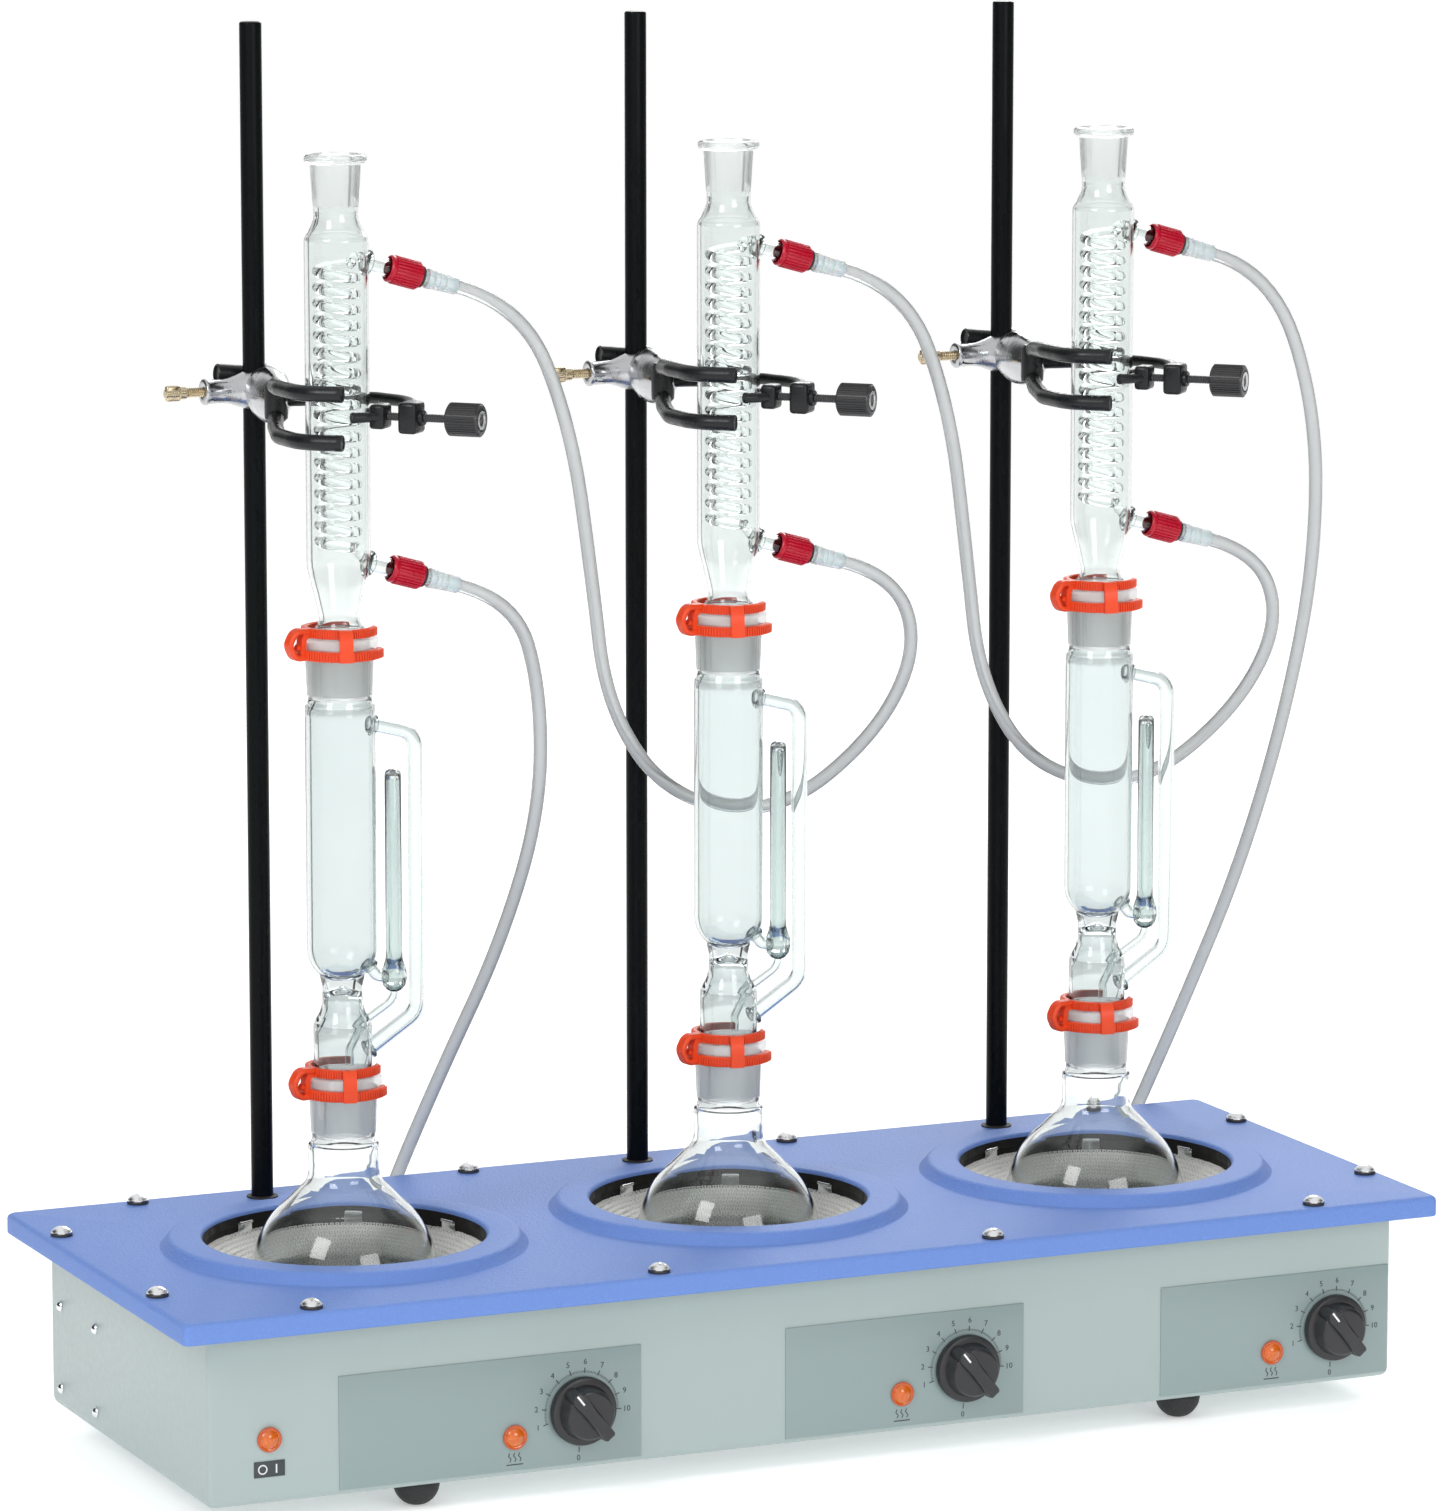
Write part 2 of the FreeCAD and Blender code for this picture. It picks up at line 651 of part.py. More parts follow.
def make_joint_clip(top):
    """Plastic clip: two open rings, a wide one under the rim and a narrow one over it."""
    opening = 73.0
    first = 49.0

    def open_ring(outer, inner, foot, height):
        ring = cylinder(outer, height, z=foot)
        ring.Angle = 360.0 - opening
        ring.Placement.Rotation = FreeCAD.Rotation(FreeCAD.Vector(0, 0, 1), first)
        return cut(ring, cylinder(inner, f"{height} + 2", z=f"{foot} - 1"))

    def radial_block(angle, start, end, width, foot, height):
        thing = bind(DOC.addObject("Part::Box", "arm"), Length=end - start, Width=width, Height=height)
        thing.Placement.Rotation = FreeCAD.Rotation(FreeCAD.Vector(0, 0, 1), angle)
        turn_angle = math.radians(angle)
        x = start * math.cos(turn_angle) + width / 2 * math.sin(turn_angle)
        y = start * math.sin(turn_angle) - width / 2 * math.cos(turn_angle)
        return put(thing, x, y, foot)

    below = f"{top} - 11.7"
    above = f"{top} + 0.7"
    wide = open_ring(25, 20.2, below, 5.6)
    narrow = open_ring(21.3, 17.6, above, 5.3)
    tab = radial_block(-102, 23.0, 26.4, 7.5, below, 17.7)
    bridge = radial_block(-102, 19.0, 25.0, 7.5, above, 5.3)
    loop = radial_block(190, 23.0, 33.0, 6.0, below, 17.7)
    loop_root = radial_block(190, 19.0, 25.0, 6.0, above, 5.3)
    slot = radial_block(190, 22.5, 29.5, 8.0, f"{top} - 6.3", 7.3)
    return cut(fuse(wide, narrow, tab, bridge, loop, loop_root), slot)


# ---------------------------------------------------------------- clamp, drawn on the station's axis

GRIP_DIRECTION = (0.7071, -0.7071, 0.0)
PRONG_RISE = 13.5
BRIDGE_RADIUS = 3.4


def along_grip(distance, aside=0.0):
    """A point on the adjusting screw's axis, or a distance to the side of it."""
    return (f"({distance}) * {GRIP_DIRECTION[0]} + ({aside}) * {GRIP_DIRECTION[0]}",
            f"({distance}) * {GRIP_DIRECTION[1]} + ({aside}) * {GRIP_DIRECTION[0]}", "clamp_z")


def grip_cylinder(radius, start, end):
    return cylinder(radius, f"({end}) - ({start})", *along_grip(start), GRIP_DIRECTION)


def grip_block(name, near, far, width, height):
    """A block square to the adjusting screw and centred on its axis."""
    shape = bind(DOC.addObject("Part::Box", name), Length=far - near, Width=width, Height=height)
    shape.Placement.Rotation = FreeCAD.Rotation(FreeCAD.Vector(0, 0, 1), -45)
    across = width / 2 * GRIP_DIRECTION[0]
    put(shape, near * GRIP_DIRECTION[0] - across, near * GRIP_DIRECTION[1] - across, f"clamp_z - {height / 2}")
    return shape


def make_clamp_body():
    """Cast aluminium boss round the upright, with a collar for its screw and a deep body towards the glass."""
    rod = "rod_y - station_y"
    collar = cylinder(7.5, 15, -31, rod, "clamp_z", (1, 0, 0))
    flare = cone(6.8, 15, 25, -17, rod, "clamp_z", (1, 0, 0))
    shoulder = ball(15, 6, rod, "clamp_z")
    body = bind(DOC.addObject("Part::Ellipsoid", "body"), Radius1=15.7, Radius2=36, Radius3=11.5)
    body.Placement.Rotation = FreeCAD.Rotation(FreeCAD.Vector(0, 0, 1), -98.9)
    put(body, -2, "rod_y - station_y - 30", "clamp_z")
    rod_hole = cylinder("rod_radius + 0.07", 40, 0, rod, "clamp_z - 20")
    screw_hole = cylinder(2.85, 26, -32, rod, "clamp_z", (1, 0, 0))
    return cut(fuse(collar, flare, shoulder, body), rod_hole, screw_hole)


def make_clamp_thumbscrew():
    """Brass tee-headed screw that locks the boss to the upright."""
    rod = "rod_y - station_y"
    shank = cylinder(2.8, 39, -46, rod, "clamp_z", (1, 0, 0))
    head = cylinder(3.6, 4, -45, rod, "clamp_z", (1, 0, 0))
    tee = block(9, 4, 9, -49, rod, "clamp_z - 4.5")
    return fuse(shank, head, tee)


def make_clamp_frame():
    """Coated steel frame: two prongs round the glass, a bridge to its nut, a tail behind the upright."""
    middle = size("clamp_z")
    prongs = []
    for side in (1, -1):
        level = middle + side * PRONG_RISE
        prong, _, _ = bent_tube([(-9, 72, level - 5.5 * side), (-18, 50, level - 2 * side), (-26.5, 22, level),
                                 (-25.4, -9.2, level), (-6, -24.2, level)], "prong_radius")
        prongs.append(prong)
    bridge, _, _ = bent_tube([(-6, 74, middle), (14, 52, middle + 2), (32, 26, middle + 5),
                              (43, -4, middle + 5), (33, -31, middle + 4)], BRIDGE_RADIUS)
    root = cylinder("prong_radius + 2.2", 23, -9, 72, "clamp_z - 11.5")
    nut = grip_block("nut", 39, 50, 15, 17.6)
    collar = grip_cylinder(4.6, 49, 52.3)
    bore = grip_cylinder("thread_radius + 0.06", 38, 53)
    tail = cylinder(5.4, 26, -18, "rod_y - station_y + 13.4", "clamp_z + 9", (1, 0, -0.1))
    return group(cut(fuse(*prongs, bridge, root, nut, collar), bore), tail)


def make_clamp_jaw():
    """Sliding jaw with two fingers, pressed against the jacket by the adjusting screw."""
    body = grip_block("jaw", 21, 30.5, 13, 14)
    fingers = []
    for side in (1, -1):
        fingers.append(cylinder(3.4, 14.6, *along_grip(26, 3.4 * side),
                                (GRIP_DIRECTION[0] * (-0.72 + 0.69 * side), GRIP_DIRECTION[0] * (0.72 + 0.69 * side), 0)))
    glass = cylinder("jacket_radius + grip_gap", 30, z="clamp_z - 15")
    bore = grip_cylinder("thread_radius + 0.06", 24, 31)
    return cut(fuse(body, *fingers), glass, bore)


def make_clamp_adjuster():
    """Adjusting screw with a fluted knob."""
    screw = grip_cylinder("thread_radius", 24.2, 69)
    knob = grip_cylinder(9.5, 67, 87)
    return fuse(screw, knob)


# ---------------------------------------------------------------- hoses

def hose_end(station, height):
    """Where a connector hands over to its hose, and a point straight out from it."""
    direction = FreeCAD.Vector(*port_direction())
    axis = FreeCAD.Vector(size("station_pitch") * STATIONS[station], size("station_y"), size(height))
    return axis + direction * size("hose_start")


DRAIN_ROUTE = [(-131, -3, 484), (-105, 22, 428), (-94, 50, 352), (-102, 92, 268), (-122, 134, 188),
               (-140, 172, 110), (-158, 196, 34), (-190, 205, 6)]
LINK_1_ROUTE = [(-125, -2, 650), (-90, 12, 578), (-70, 30, 490), (-54, 46, 410), (-8, 60, 352),
                (62, 62, 338), (116, 44, 384), (128, 12, 440), (104, -4, 485)]
LINK_2_ROUTE = [(112, -2, 650), (147, 12, 578), (167, 30, 490), (184, 46, 410), (229, 60, 352),
                (299, 62, 338), (353, 44, 384), (365, 12, 440), (341, -4, 485)]
FEED_ROUTE = [(349, -2, 650), (386, 10, 568), (397, 28, 474), (394, 58, 376), (386, 98, 278),
              (372, 142, 188), (352, 176, 104), (330, 198, 34), (298, 207, 6)]
COIL_PLACES = {"drain": (-190, 253), "feed": (298, 255)}
COIL_MIDDLE_RADIUS = 44.0


def make_hose(name, route, first, last=None):
    """A free hose: straight runs joined by arcs, from its connector along its route."""
    start = hose_end(*first)
    points = [tuple(start)] + route
    if last is not None:
        points.append(tuple(hose_end(*last)))
    tube, wire, radii = bent_tube(points, "hose_radius")
    HOSES.append((name, tube, wire, radii))
    return tube


def make_hose_coil(place):
    """Outer shape of a hose wound into a flat ring on the bench."""
    x, y = place
    outer = cylinder(f"{COIL_MIDDLE_RADIUS} + hose_radius * 2", "hose_radius * 6 - 0.5", x, y)
    return cut(outer, cylinder(f"{COIL_MIDDLE_RADIUS} - hose_radius * 2", "hose_radius * 6 + 2", x, y, -1))


HOSES = []

# ---------------------------------------------------------------- the assembly

node("case", make_case())
node("top_plate", make_top_plate())
node("feet", make_feet())
node("plate_screws", make_plate_screws())
node("end_screws", make_end_screws())
node("control_panels", make_control_panels())
node("pilot_lamps", make_pilot_lamps())
node("mains_inlet", make_mains_inlet())
node("energy_regulators", make_energy_regulators())
node("well_liners", make_well_liners())
node("liner_clips", make_liner_clips())
node("heating_mantles", make_heating_mantles())
node("upright_rods", make_upright_rods())
node("hose_connectors", make_hose_connectors())
node("condenser_coils", make_condenser_coils())

for station in STATIONS:
    node(f"control_knob_{station}", make_control_knob(station))
    node(f"flask_{station}", make_flask(), station)
    node(f"extractor_{station}", make_extractor(), station)
    node(f"condenser_{station}", make_condenser(), station)
    node(f"lower_clip_{station}", make_joint_clip("low_joint"), station)
    node(f"upper_clip_{station}", make_joint_clip("high_joint"), station)
    node(f"upper_cap_{station}", make_cap("port_high"), station)
    node(f"lower_cap_{station}", make_cap("port_low"), station)
    node(f"clamp_body_{station}", make_clamp_body(), station)
    node(f"clamp_thumbscrew_{station}", make_clamp_thumbscrew(), station)
    node(f"clamp_frame_{station}", make_clamp_frame(), station)
    node(f"clamp_jaw_{station}", make_clamp_jaw(), station)
    node(f"clamp_adjuster_{station}", make_clamp_adjuster(), station)

node("drain_hose", make_hose("drain_hose", DRAIN_ROUTE, (1, "port_low")))
node("link_hose_1", make_hose("link_hose_1", LINK_1_ROUTE, (1, "port_high"), (2, "port_low")))
node("link_hose_2", make_hose("link_hose_2", LINK_2_ROUTE, (2, "port_high"), (3, "port_low")))
node("feed_hose", make_hose("feed_hose", FEED_ROUTE, (3, "port_high")))
node("drain_hose_coil", make_hose_coil(COIL_PLACES["drain"]))
node("feed_hose_coil", make_hose_coil(COIL_PLACES["feed"]))

DOC.recompute()

for thing in DOC.Objects:
    if "Invalid" in thing.State or "Error" in thing.State:
        raise RuntimeError(f"{thing.Label} failed: {thing.State}")

for name, tube, wire, radii in HOSES:
    expected = math.pi * size("hose_radius") ** 2 * wire.Length
    print(name, "length", round(wire.Length), "radii", [round(radius) for radius in radii],
          "volume ratio", round(tube.Shape.Volume / expected, 4))

os.makedirs("parts", exist_ok=True)
for thing in NODES:
    shape = thing.Shape
    if shape.isNull() or not shape.isValid() or not shape.Solids:
        raise RuntimeError(f"{thing.Label} has no valid solid")
    shape.exportStep(f"parts/{thing.Label}.step")
print(len(NODES), "nodes written")
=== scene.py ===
"""Looks of a three-place Soxhlet extraction unit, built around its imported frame.

The frame is in metres, +Z up. Pieces are drawn in millimetres and made() turns them into metres.
"""
import bmesh
import bpy
import math
from mathutils import Matrix, Vector


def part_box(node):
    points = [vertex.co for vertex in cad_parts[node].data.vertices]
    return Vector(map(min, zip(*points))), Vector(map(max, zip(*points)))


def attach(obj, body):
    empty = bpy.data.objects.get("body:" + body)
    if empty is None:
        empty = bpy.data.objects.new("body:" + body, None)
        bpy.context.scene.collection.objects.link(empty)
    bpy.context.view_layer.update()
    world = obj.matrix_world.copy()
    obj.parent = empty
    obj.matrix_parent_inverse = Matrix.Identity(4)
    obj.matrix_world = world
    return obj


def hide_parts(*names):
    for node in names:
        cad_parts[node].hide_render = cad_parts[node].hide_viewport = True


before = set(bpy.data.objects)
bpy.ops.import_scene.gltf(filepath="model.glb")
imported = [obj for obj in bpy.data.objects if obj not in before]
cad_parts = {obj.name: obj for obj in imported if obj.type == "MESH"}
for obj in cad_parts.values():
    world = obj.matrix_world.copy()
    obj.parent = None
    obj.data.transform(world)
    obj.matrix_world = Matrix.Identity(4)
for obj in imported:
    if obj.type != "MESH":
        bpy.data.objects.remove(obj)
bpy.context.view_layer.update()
scene = bpy.context.scene
MM = 0.001
QUARTER, FULL = math.pi / 2, 2 * math.pi
MERGE, POLE = 0.0004, 0.01


# ---------------------------------------------------------------- studio
# A wide pale floor under a bright sky that is dark to the left and right, so that glass and
# polished metal get dark edges. A soft key light stands at the left, a weaker one at the right.
CAMERA_PLACE = (-1.6816, -3.7508, 1.0596)
CAMERA_TURN = -24.116
CAMERA_TILT = 9.304
LENS = 173.73

lens = bpy.data.cameras.new("camera")
lens.lens = LENS
lens.sensor_width = 36.0
lens.clip_end = 200.0
camera = bpy.data.objects.new("camera", lens)
camera.location = CAMERA_PLACE
camera.rotation_euler = (math.radians(90 - CAMERA_TILT), 0, math.radians(CAMERA_TURN))
scene.collection.objects.link(camera)
scene.camera = camera

scene.view_settings.view_transform = "Standard"
GLASS_BOUNCES = 24
scene.cycles.max_bounces = GLASS_BOUNCES
scene.cycles.transmission_bounces = GLASS_BOUNCES
scene.cycles.transparent_max_bounces = GLASS_BOUNCES
scene.cycles.sample_clamp_indirect = 4.0


def link(nodes, source, target):
    nodes.id_data.links.new(source, target)


sky = bpy.data.worlds.new("studio")
scene.world = sky
sky.use_nodes = True
sky_nodes = sky.node_tree.nodes
background = sky_nodes["Background"]
direction = sky_nodes.new("ShaderNodeTexCoord")
across = sky_nodes.new("ShaderNodeVectorMath")
across.operation = "DOT_PRODUCT"
across.inputs[1].default_value = (math.cos(math.radians(CAMERA_TURN)), math.sin(math.radians(CAMERA_TURN)), 0)
bands = sky_nodes.new("ShaderNodeMapRange")
bands.inputs["From Min"].default_value = -1.0
ramp = sky_nodes.new("ShaderNodeValToRGB")
SKY_BANDS = ((0.0, 0.05), (0.16, 0.10), (0.26, 0.90), (0.36, 1.02), (0.66, 1.0), (0.77, 0.85), (0.86, 0.08),
             (1.0, 0.04))
while len(ramp.color_ramp.elements) < len(SKY_BANDS):
    ramp.color_ramp.elements.new(0.5)
for element, (place, level) in zip(ramp.color_ramp.elements, SKY_BANDS):
    element.position = place
    element.color = (level, level, level, 1)
link(sky_nodes, direction.outputs["Generated"], across.inputs[0])
link(sky_nodes, across.outputs["Value"], bands.inputs["Value"])
link(sky_nodes, bands.outputs["Result"], ramp.inputs["Fac"])
link(sky_nodes, ramp.outputs["Color"], background.inputs["Color"])
background.inputs["Strength"].default_value = 0.95
MIDDLE = Vector((0, 0, 0.4))


def lamp(name, place, width, height, power):
    """A soft rectangular light that faces the middle of the object."""
    data = bpy.data.lights.new(name, "AREA")
    data.shape = "RECTANGLE"
    data.size = width
    data.size_y = height
    data.energy = power
    light = bpy.data.objects.new(name, data)
    light.location = place
    light.rotation_euler = (Vector(place) - MIDDLE).to_track_quat("Z", "Y").to_euler()
    scene.collection.objects.link(light)


lamp("key_light", (-2.6, -1.4, 2.3), 1.2, 1.6, 40)
lamp("front_light", (0.6, -3.4, 1.5), 1.6, 1.2, 26)
lamp("rim_light", (1.6, 2.4, 1.8), 1.4, 1.0, 26)


def painted(name, color, roughness=0.5, metallic=0.0, **more):
    """A material with its even values set on the shader's own sockets."""
    material = bpy.data.materials.new(name)
    material.use_nodes = True
    shader = material.node_tree.nodes["Principled BSDF"]
    shader.inputs["Base Color"].default_value = (*color, 1)
    shader.inputs["Roughness"].default_value = roughness
    shader.inputs["Metallic"].default_value = metallic
    for socket, value in more.items():
        shader.inputs[socket.replace("_", " ").title().replace("Ior", "IOR")].default_value = value
    return material


def grain(material, scale, strength, distance, kind="ShaderNodeTexNoise", stretch=(1, 1, 1), detail=4.0):
    """Surface relief from a procedural pattern, scale in patterns a metre. Returns the pattern."""
    nodes = material.node_tree.nodes
    place = nodes.new("ShaderNodeTexCoord")
    mapping = nodes.new("ShaderNodeMapping")
    mapping.inputs["Scale"].default_value = stretch
    pattern = nodes.new(kind)
    pattern.inputs["Scale"].default_value = scale
    if "Detail" in pattern.inputs:
        pattern.inputs["Detail"].default_value = detail
    relief = nodes.new("ShaderNodeBump")
    relief.inputs["Strength"].default_value = strength
    relief.inputs["Distance"].default_value = distance
    link(nodes, place.outputs["Object"], mapping.inputs["Vector"])
    link(nodes, mapping.outputs["Vector"], pattern.inputs["Vector"])
    link(nodes, pattern.outputs[0], relief.inputs["Height"])
    link(nodes, relief.outputs["Normal"], nodes["Principled BSDF"].inputs["Normal"])
    return pattern


def varied(material, pattern, socket, low, high, start=0.3, end=0.7):
    """Lets a pattern move a socket between two values or colours."""
    nodes = material.node_tree.nodes
    spread = nodes.new("ShaderNodeValToRGB")
    for element, place, value in zip(spread.color_ramp.elements, (start, end), (low, high)):
        element.position = place
        element.color = (*value, 1) if isinstance(value, tuple) else (value, value, value, 1)
    link(nodes, pattern.outputs[0], spread.inputs["Fac"])
    link(nodes, spread.outputs["Color"], nodes["Principled BSDF"].inputs[socket])
    return spread


FLOOR_HALF, FLOOR_DROP = 60.0, 0.0005
floor_mesh = bpy.data.meshes.new("floor")
corners = ((-1, -1), (1, -1), (1, 1), (-1, 1))
floor_mesh.from_pydata([(x * FLOOR_HALF, y * FLOOR_HALF, -FLOOR_DROP) for x, y in corners], [],
                       [(0, 1, 2, 3)])
floor = bpy.data.objects.new("floor", floor_mesh)
scene.collection.objects.link(floor)
floor_mesh.materials.append(painted("floor_paper", (0.93, 0.93, 0.93), 0.9, Emission_Color=(1, 1, 1, 1),
                                    Emission_Strength=0.36))


# ---------------------------------------------------------------- hoses
# Soft clear tubing, 8 mm outside. Two short lengths link one condenser to the next, and two long
# ones run down behind the base, where the rest of each lies in a flat coil on the bench.
HOSE_RADIUS = 4.0
HOSE_START = 74.0
PORT_DROOP = math.radians(16.0)
PORT_HEIGHTS = {"lower": 515.0, "upper": 682.5}
PORT_LINE = Vector((math.cos(PORT_DROOP), 0, -math.sin(PORT_DROOP)))
TURN_POINTS = 16

axes = {}
for station in (1, 2, 3):
    low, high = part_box(f"flask_{station}")
    axes[station] = Vector(((low[0] + high[0]) * 500, (low[1] + high[1]) * 500, 0))


def hose_end(station, level):
    return tuple(axes[station] + Vector((0, 0, PORT_HEIGHTS[level])) + PORT_LINE * HOSE_START)


DRAIN_ROUTE = [(-131, -3, 484), (-105, 22, 428), (-94, 50, 352), (-102, 92, 268), (-122, 134, 188),
               (-140, 172, 110), (-158, 196, 34)]
LINK_1_ROUTE = [(-125, -2, 650), (-90, 12, 578), (-70, 30, 490), (-54, 46, 410), (-8, 60, 352),
                (62, 62, 338), (116, 44, 384), (128, 12, 440), (104, -4, 485)]
LINK_2_ROUTE = [(112, -2, 650), (147, 12, 578), (167, 30, 490), (184, 46, 410), (229, 60, 352),
                (299, 62, 338), (353, 44, 384), (365, 12, 440), (341, -4, 485)]
FEED_ROUTE = [(349, -2, 650), (386, 10, 568), (397, 28, 474), (394, 58, 376), (386, 98, 278),
              (372, 142, 188), (352, 176, 104), (330, 198, 34)]
COIL_LEVELS = ((48, 4), (40.5, 4), (40.5, 11.8), (48, 11.8), (48, 19.6), (40.5, 19.6))
LEVEL_TURNS, STEP_TURNS = 0.75, 0.25
COIL_LENGTH = 4.8


def coil_points(x, y):
    """Turns of a put-away hose, laid beside and on each other, from the side nearest the base."""
    points = []
    for step in range(int(COIL_LENGTH * TURN_POINTS) + 1):
        turned = step / TURN_POINTS
        level = min(max(int((turned - STEP_TURNS) / LEVEL_TURNS), 0), len(COIL_LEVELS) - 1)
        radius, height = COIL_LEVELS[level]
        passed = (turned - STEP_TURNS - (level + 1) * LEVEL_TURNS) / STEP_TURNS + 1
        if passed > 0 and level < len(COIL_LEVELS) - 1:
            eased = passed * passed * (3 - 2 * passed)
            radius += (COIL_LEVELS[level + 1][0] - radius) * eased
            height += (COIL_LEVELS[level + 1][1] - height) * eased
        angle = -QUARTER - FULL * turned
        reach = radius / math.cos(math.pi / TURN_POINTS)
        points.append((x + reach * math.cos(angle), y + reach * math.sin(angle), height))
    return points


silicone = painted("clear_tubing", (0.60, 0.64, 0.64), 0.14, Transmission_Weight=0.45, Ior=1.40)
silicone_nodes = silicone.node_tree.nodes
# Painted shade and light: the tubing's colour follows the facing angle. It is lighter in the middle and
# darker towards its edges as seen, standing in for the bright core and dark edges that light through clear
# tubing gives.
tube_edge = silicone_nodes.new("ShaderNodeLayerWeight")
tube_edge.inputs["Blend"].default_value = 0.35
edge_shade_ramp = silicone_nodes.new("ShaderNodeValToRGB")
for element, place, tone in zip(edge_shade_ramp.color_ramp.elements, (0.10, 0.80), (0.66, 0.20)):
    element.position = place
    element.color = (tone, tone * 1.035, tone * 1.035, 1)
link(silicone_nodes, tube_edge.outputs["Facing"], edge_shade_ramp.inputs["Fac"])
link(silicone_nodes, edge_shade_ramp.outputs["Color"], silicone_nodes["Principled BSDF"].inputs["Base Color"])


def hose(name, points, nodes):
    """One hose as a NURBS spline through its given points."""
    data = bpy.data.curves.new(name, "CURVE")
    data.dimensions = "3D"
    data.resolution_u = 10
    data.bevel_depth = HOSE_RADIUS / 1000
    data.bevel_resolution = 5
    data.use_fill_caps = True
    spline = data.splines.new("NURBS")
    spline.points.add(len(points) - 1)
    for knot, point in zip(spline.points, points):
        knot.co = (*(value / 1000 for value in point), 1)
    spline.order_u = 3
    spline.use_endpoint_u = True
    data.materials.append(silicone)
    piece = bpy.data.objects.new(name, data)
    scene.collection.objects.link(piece)
    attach(piece, "base")
    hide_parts(*nodes)


hose("drain_tube", [hose_end(1, "lower"), *DRAIN_ROUTE, *coil_points(-190, 253)],
     ("drain_hose", "drain_hose_coil"))
hose("link_tube_1", [hose_end(1, "upper"), *LINK_1_ROUTE, hose_end(2, "lower")],
     ("link_hose_1",))
hose("link_tube_2", [hose_end(2, "upper"), *LINK_2_ROUTE, hose_end(3, "lower")],
     ("link_hose_2",))
hose("feed_tube", [hose_end(3, "upper"), *FEED_ROUTE, *coil_points(298, 255)],
     ("feed_hose", "feed_hose_coil"))


# ---------------------------------------------------------------- case
# A shallow box folded from steel sheet, welded at its corners, with a flange turned outwards all
# round its open top. Satin grey-green enamel, slightly uneven as sprayed paint is.
SHEET = 1.5
CASE_HALF = Vector((366, 130))
CASE_FOOT = 14.0
FLANGE = 14.0
PLATE_UNDER = 122.0


def drawn(name, shape, at=(0, 0, 0), keep_normals=False):
    """Turns a shape drawn in millimetres into a mesh in metres."""
    bmesh.ops.remove_doubles(shape, verts=shape.verts, dist=MERGE)
    if not keep_normals:
        bmesh.ops.recalc_face_normals(shape, faces=shape.faces)
    mesh = bpy.data.meshes.new(name)
    shape.to_mesh(mesh)
    shape.free()
    mesh.transform(Matrix.Translation(at))
    mesh.transform(Matrix.Scale(MM, 4))
    return mesh


def placed(name, mesh):
    piece = bpy.data.objects.new(name, mesh)
    scene.collection.objects.link(piece)
    return piece


def settled(name, mesh, body, nodes, crease):
    """Makes a piece of a mesh, smooth but for its creases, hangs it on its body and hides the parts it stands
    in for.
    """
    mesh.polygons.foreach_set("use_smooth", [True] * len(mesh.polygons))
    if crease:
        mesh.set_sharp_from_angle(angle=math.radians(crease))
    piece = placed(name, mesh)
    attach(piece, body)
    if nodes:
        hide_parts(*nodes)


def made(name, shape, finishes, body, nodes, crease=35, at=(0, 0, 0), keep_normals=False):
    """A finished piece from a shape drawn in millimetres, placed at a station if one is given."""
    mesh = drawn(name, shape, at, keep_normals)
    for finish in finishes if isinstance(finishes, list) else [finishes]:
        mesh.materials.append(finish)
    settled(name, mesh, body, nodes, crease)


def add_box(shape, low, high, edge=0.0, segments=3, turn=None):
    """A block between two corners, with all its edges rounded."""
    low, high = Vector(low), Vector(high)
    new = bmesh.ops.create_cube(shape, size=1.0)["verts"]
    size = high - low
    bmesh.ops.scale(shape, vec=size, verts=new)
    if edge:
        edges = list({e for v in new for e in v.link_edges})
        result = bmesh.ops.bevel(shape, geom=edges, offset=edge, segments=segments, profile=0.5,
                                 affect="EDGES")
        new = list({v for f in result["faces"] for v in f.verts} | {v for v in new if v.is_valid})
    matrix = Matrix.Translation((low + high) / 2)
    if turn:
        matrix = matrix @ turn.to_4x4()
    bmesh.ops.transform(shape, matrix=matrix, verts=new)


def arc(x, y, radius, start, end, steps=6):
    """Points of a round stretch of an outline, angles in degrees."""
    return [(x + radius * math.cos(math.radians(start + (end - start) * i / steps)),
             y + radius * math.sin(math.radians(start + (end - start) * i / steps)))
            for i in range(steps + 1)]


def circle_points(radius, height, steps):
    """Points round a circle, from the x axis on."""
    return [Vector((radius * math.cos(FULL * i / steps), radius * math.sin(FULL * i / steps), height))
            for i in range(steps)]


def add_turned(shape, outline, at=(0, 0, 0), along=(0, 0, 1), steps=64, closed=True, finish=0,
               finish_of=None):
    """A turned form: an outline of (radius, height) pairs spun about a line. Poles are closed."""
    turn = Vector((0, 0, 1)).rotation_difference(Vector(along)).to_matrix()
    matrix = Matrix.Translation(at) @ turn.to_4x4()
    rings = []
    for radius, height in outline:
        points = circle_points(radius, height, steps) if radius > POLE else [Vector((0, 0, height))]
        rings.append([shape.verts.new(matrix @ point) for point in points])
    pairs = list(zip(rings, rings[1:], outline, outline[1:]))
    if closed and len(rings[0]) > 1 and len(rings[-1]) > 1:
        pairs.append((rings[-1], rings[0], outline[-1], outline[0]))
    for lower, upper, start, end in pairs:
        for i in range(steps):
            corners = []
            for ring, step in ((lower, i), (lower, i + 1), (upper, i + 1), (upper, i)):
                corner = ring[step % len(ring)] if len(ring) > 1 else ring[0]
                if corner not in corners:
                    corners.append(corner)
            if len(corners) < 3:
                continue
            face = shape.faces.new(corners)
            face.material_index = finish_of(start, end) if finish_of else finish


def sheet_path(half, corner, height, steps=5):
    """A rounded rectangle at one height."""
    points = []
    for sx, sy, start in ((1, 1, 0), (-1, 1, 90), (-1, -1, 180), (1, -1, 270)):
        bend = arc(sx * (half[0] - corner), sy * (half[1] - corner), corner, start, start + 90, steps)
        points += [Vector((x, y, height)) for x, y in bend]
    return points


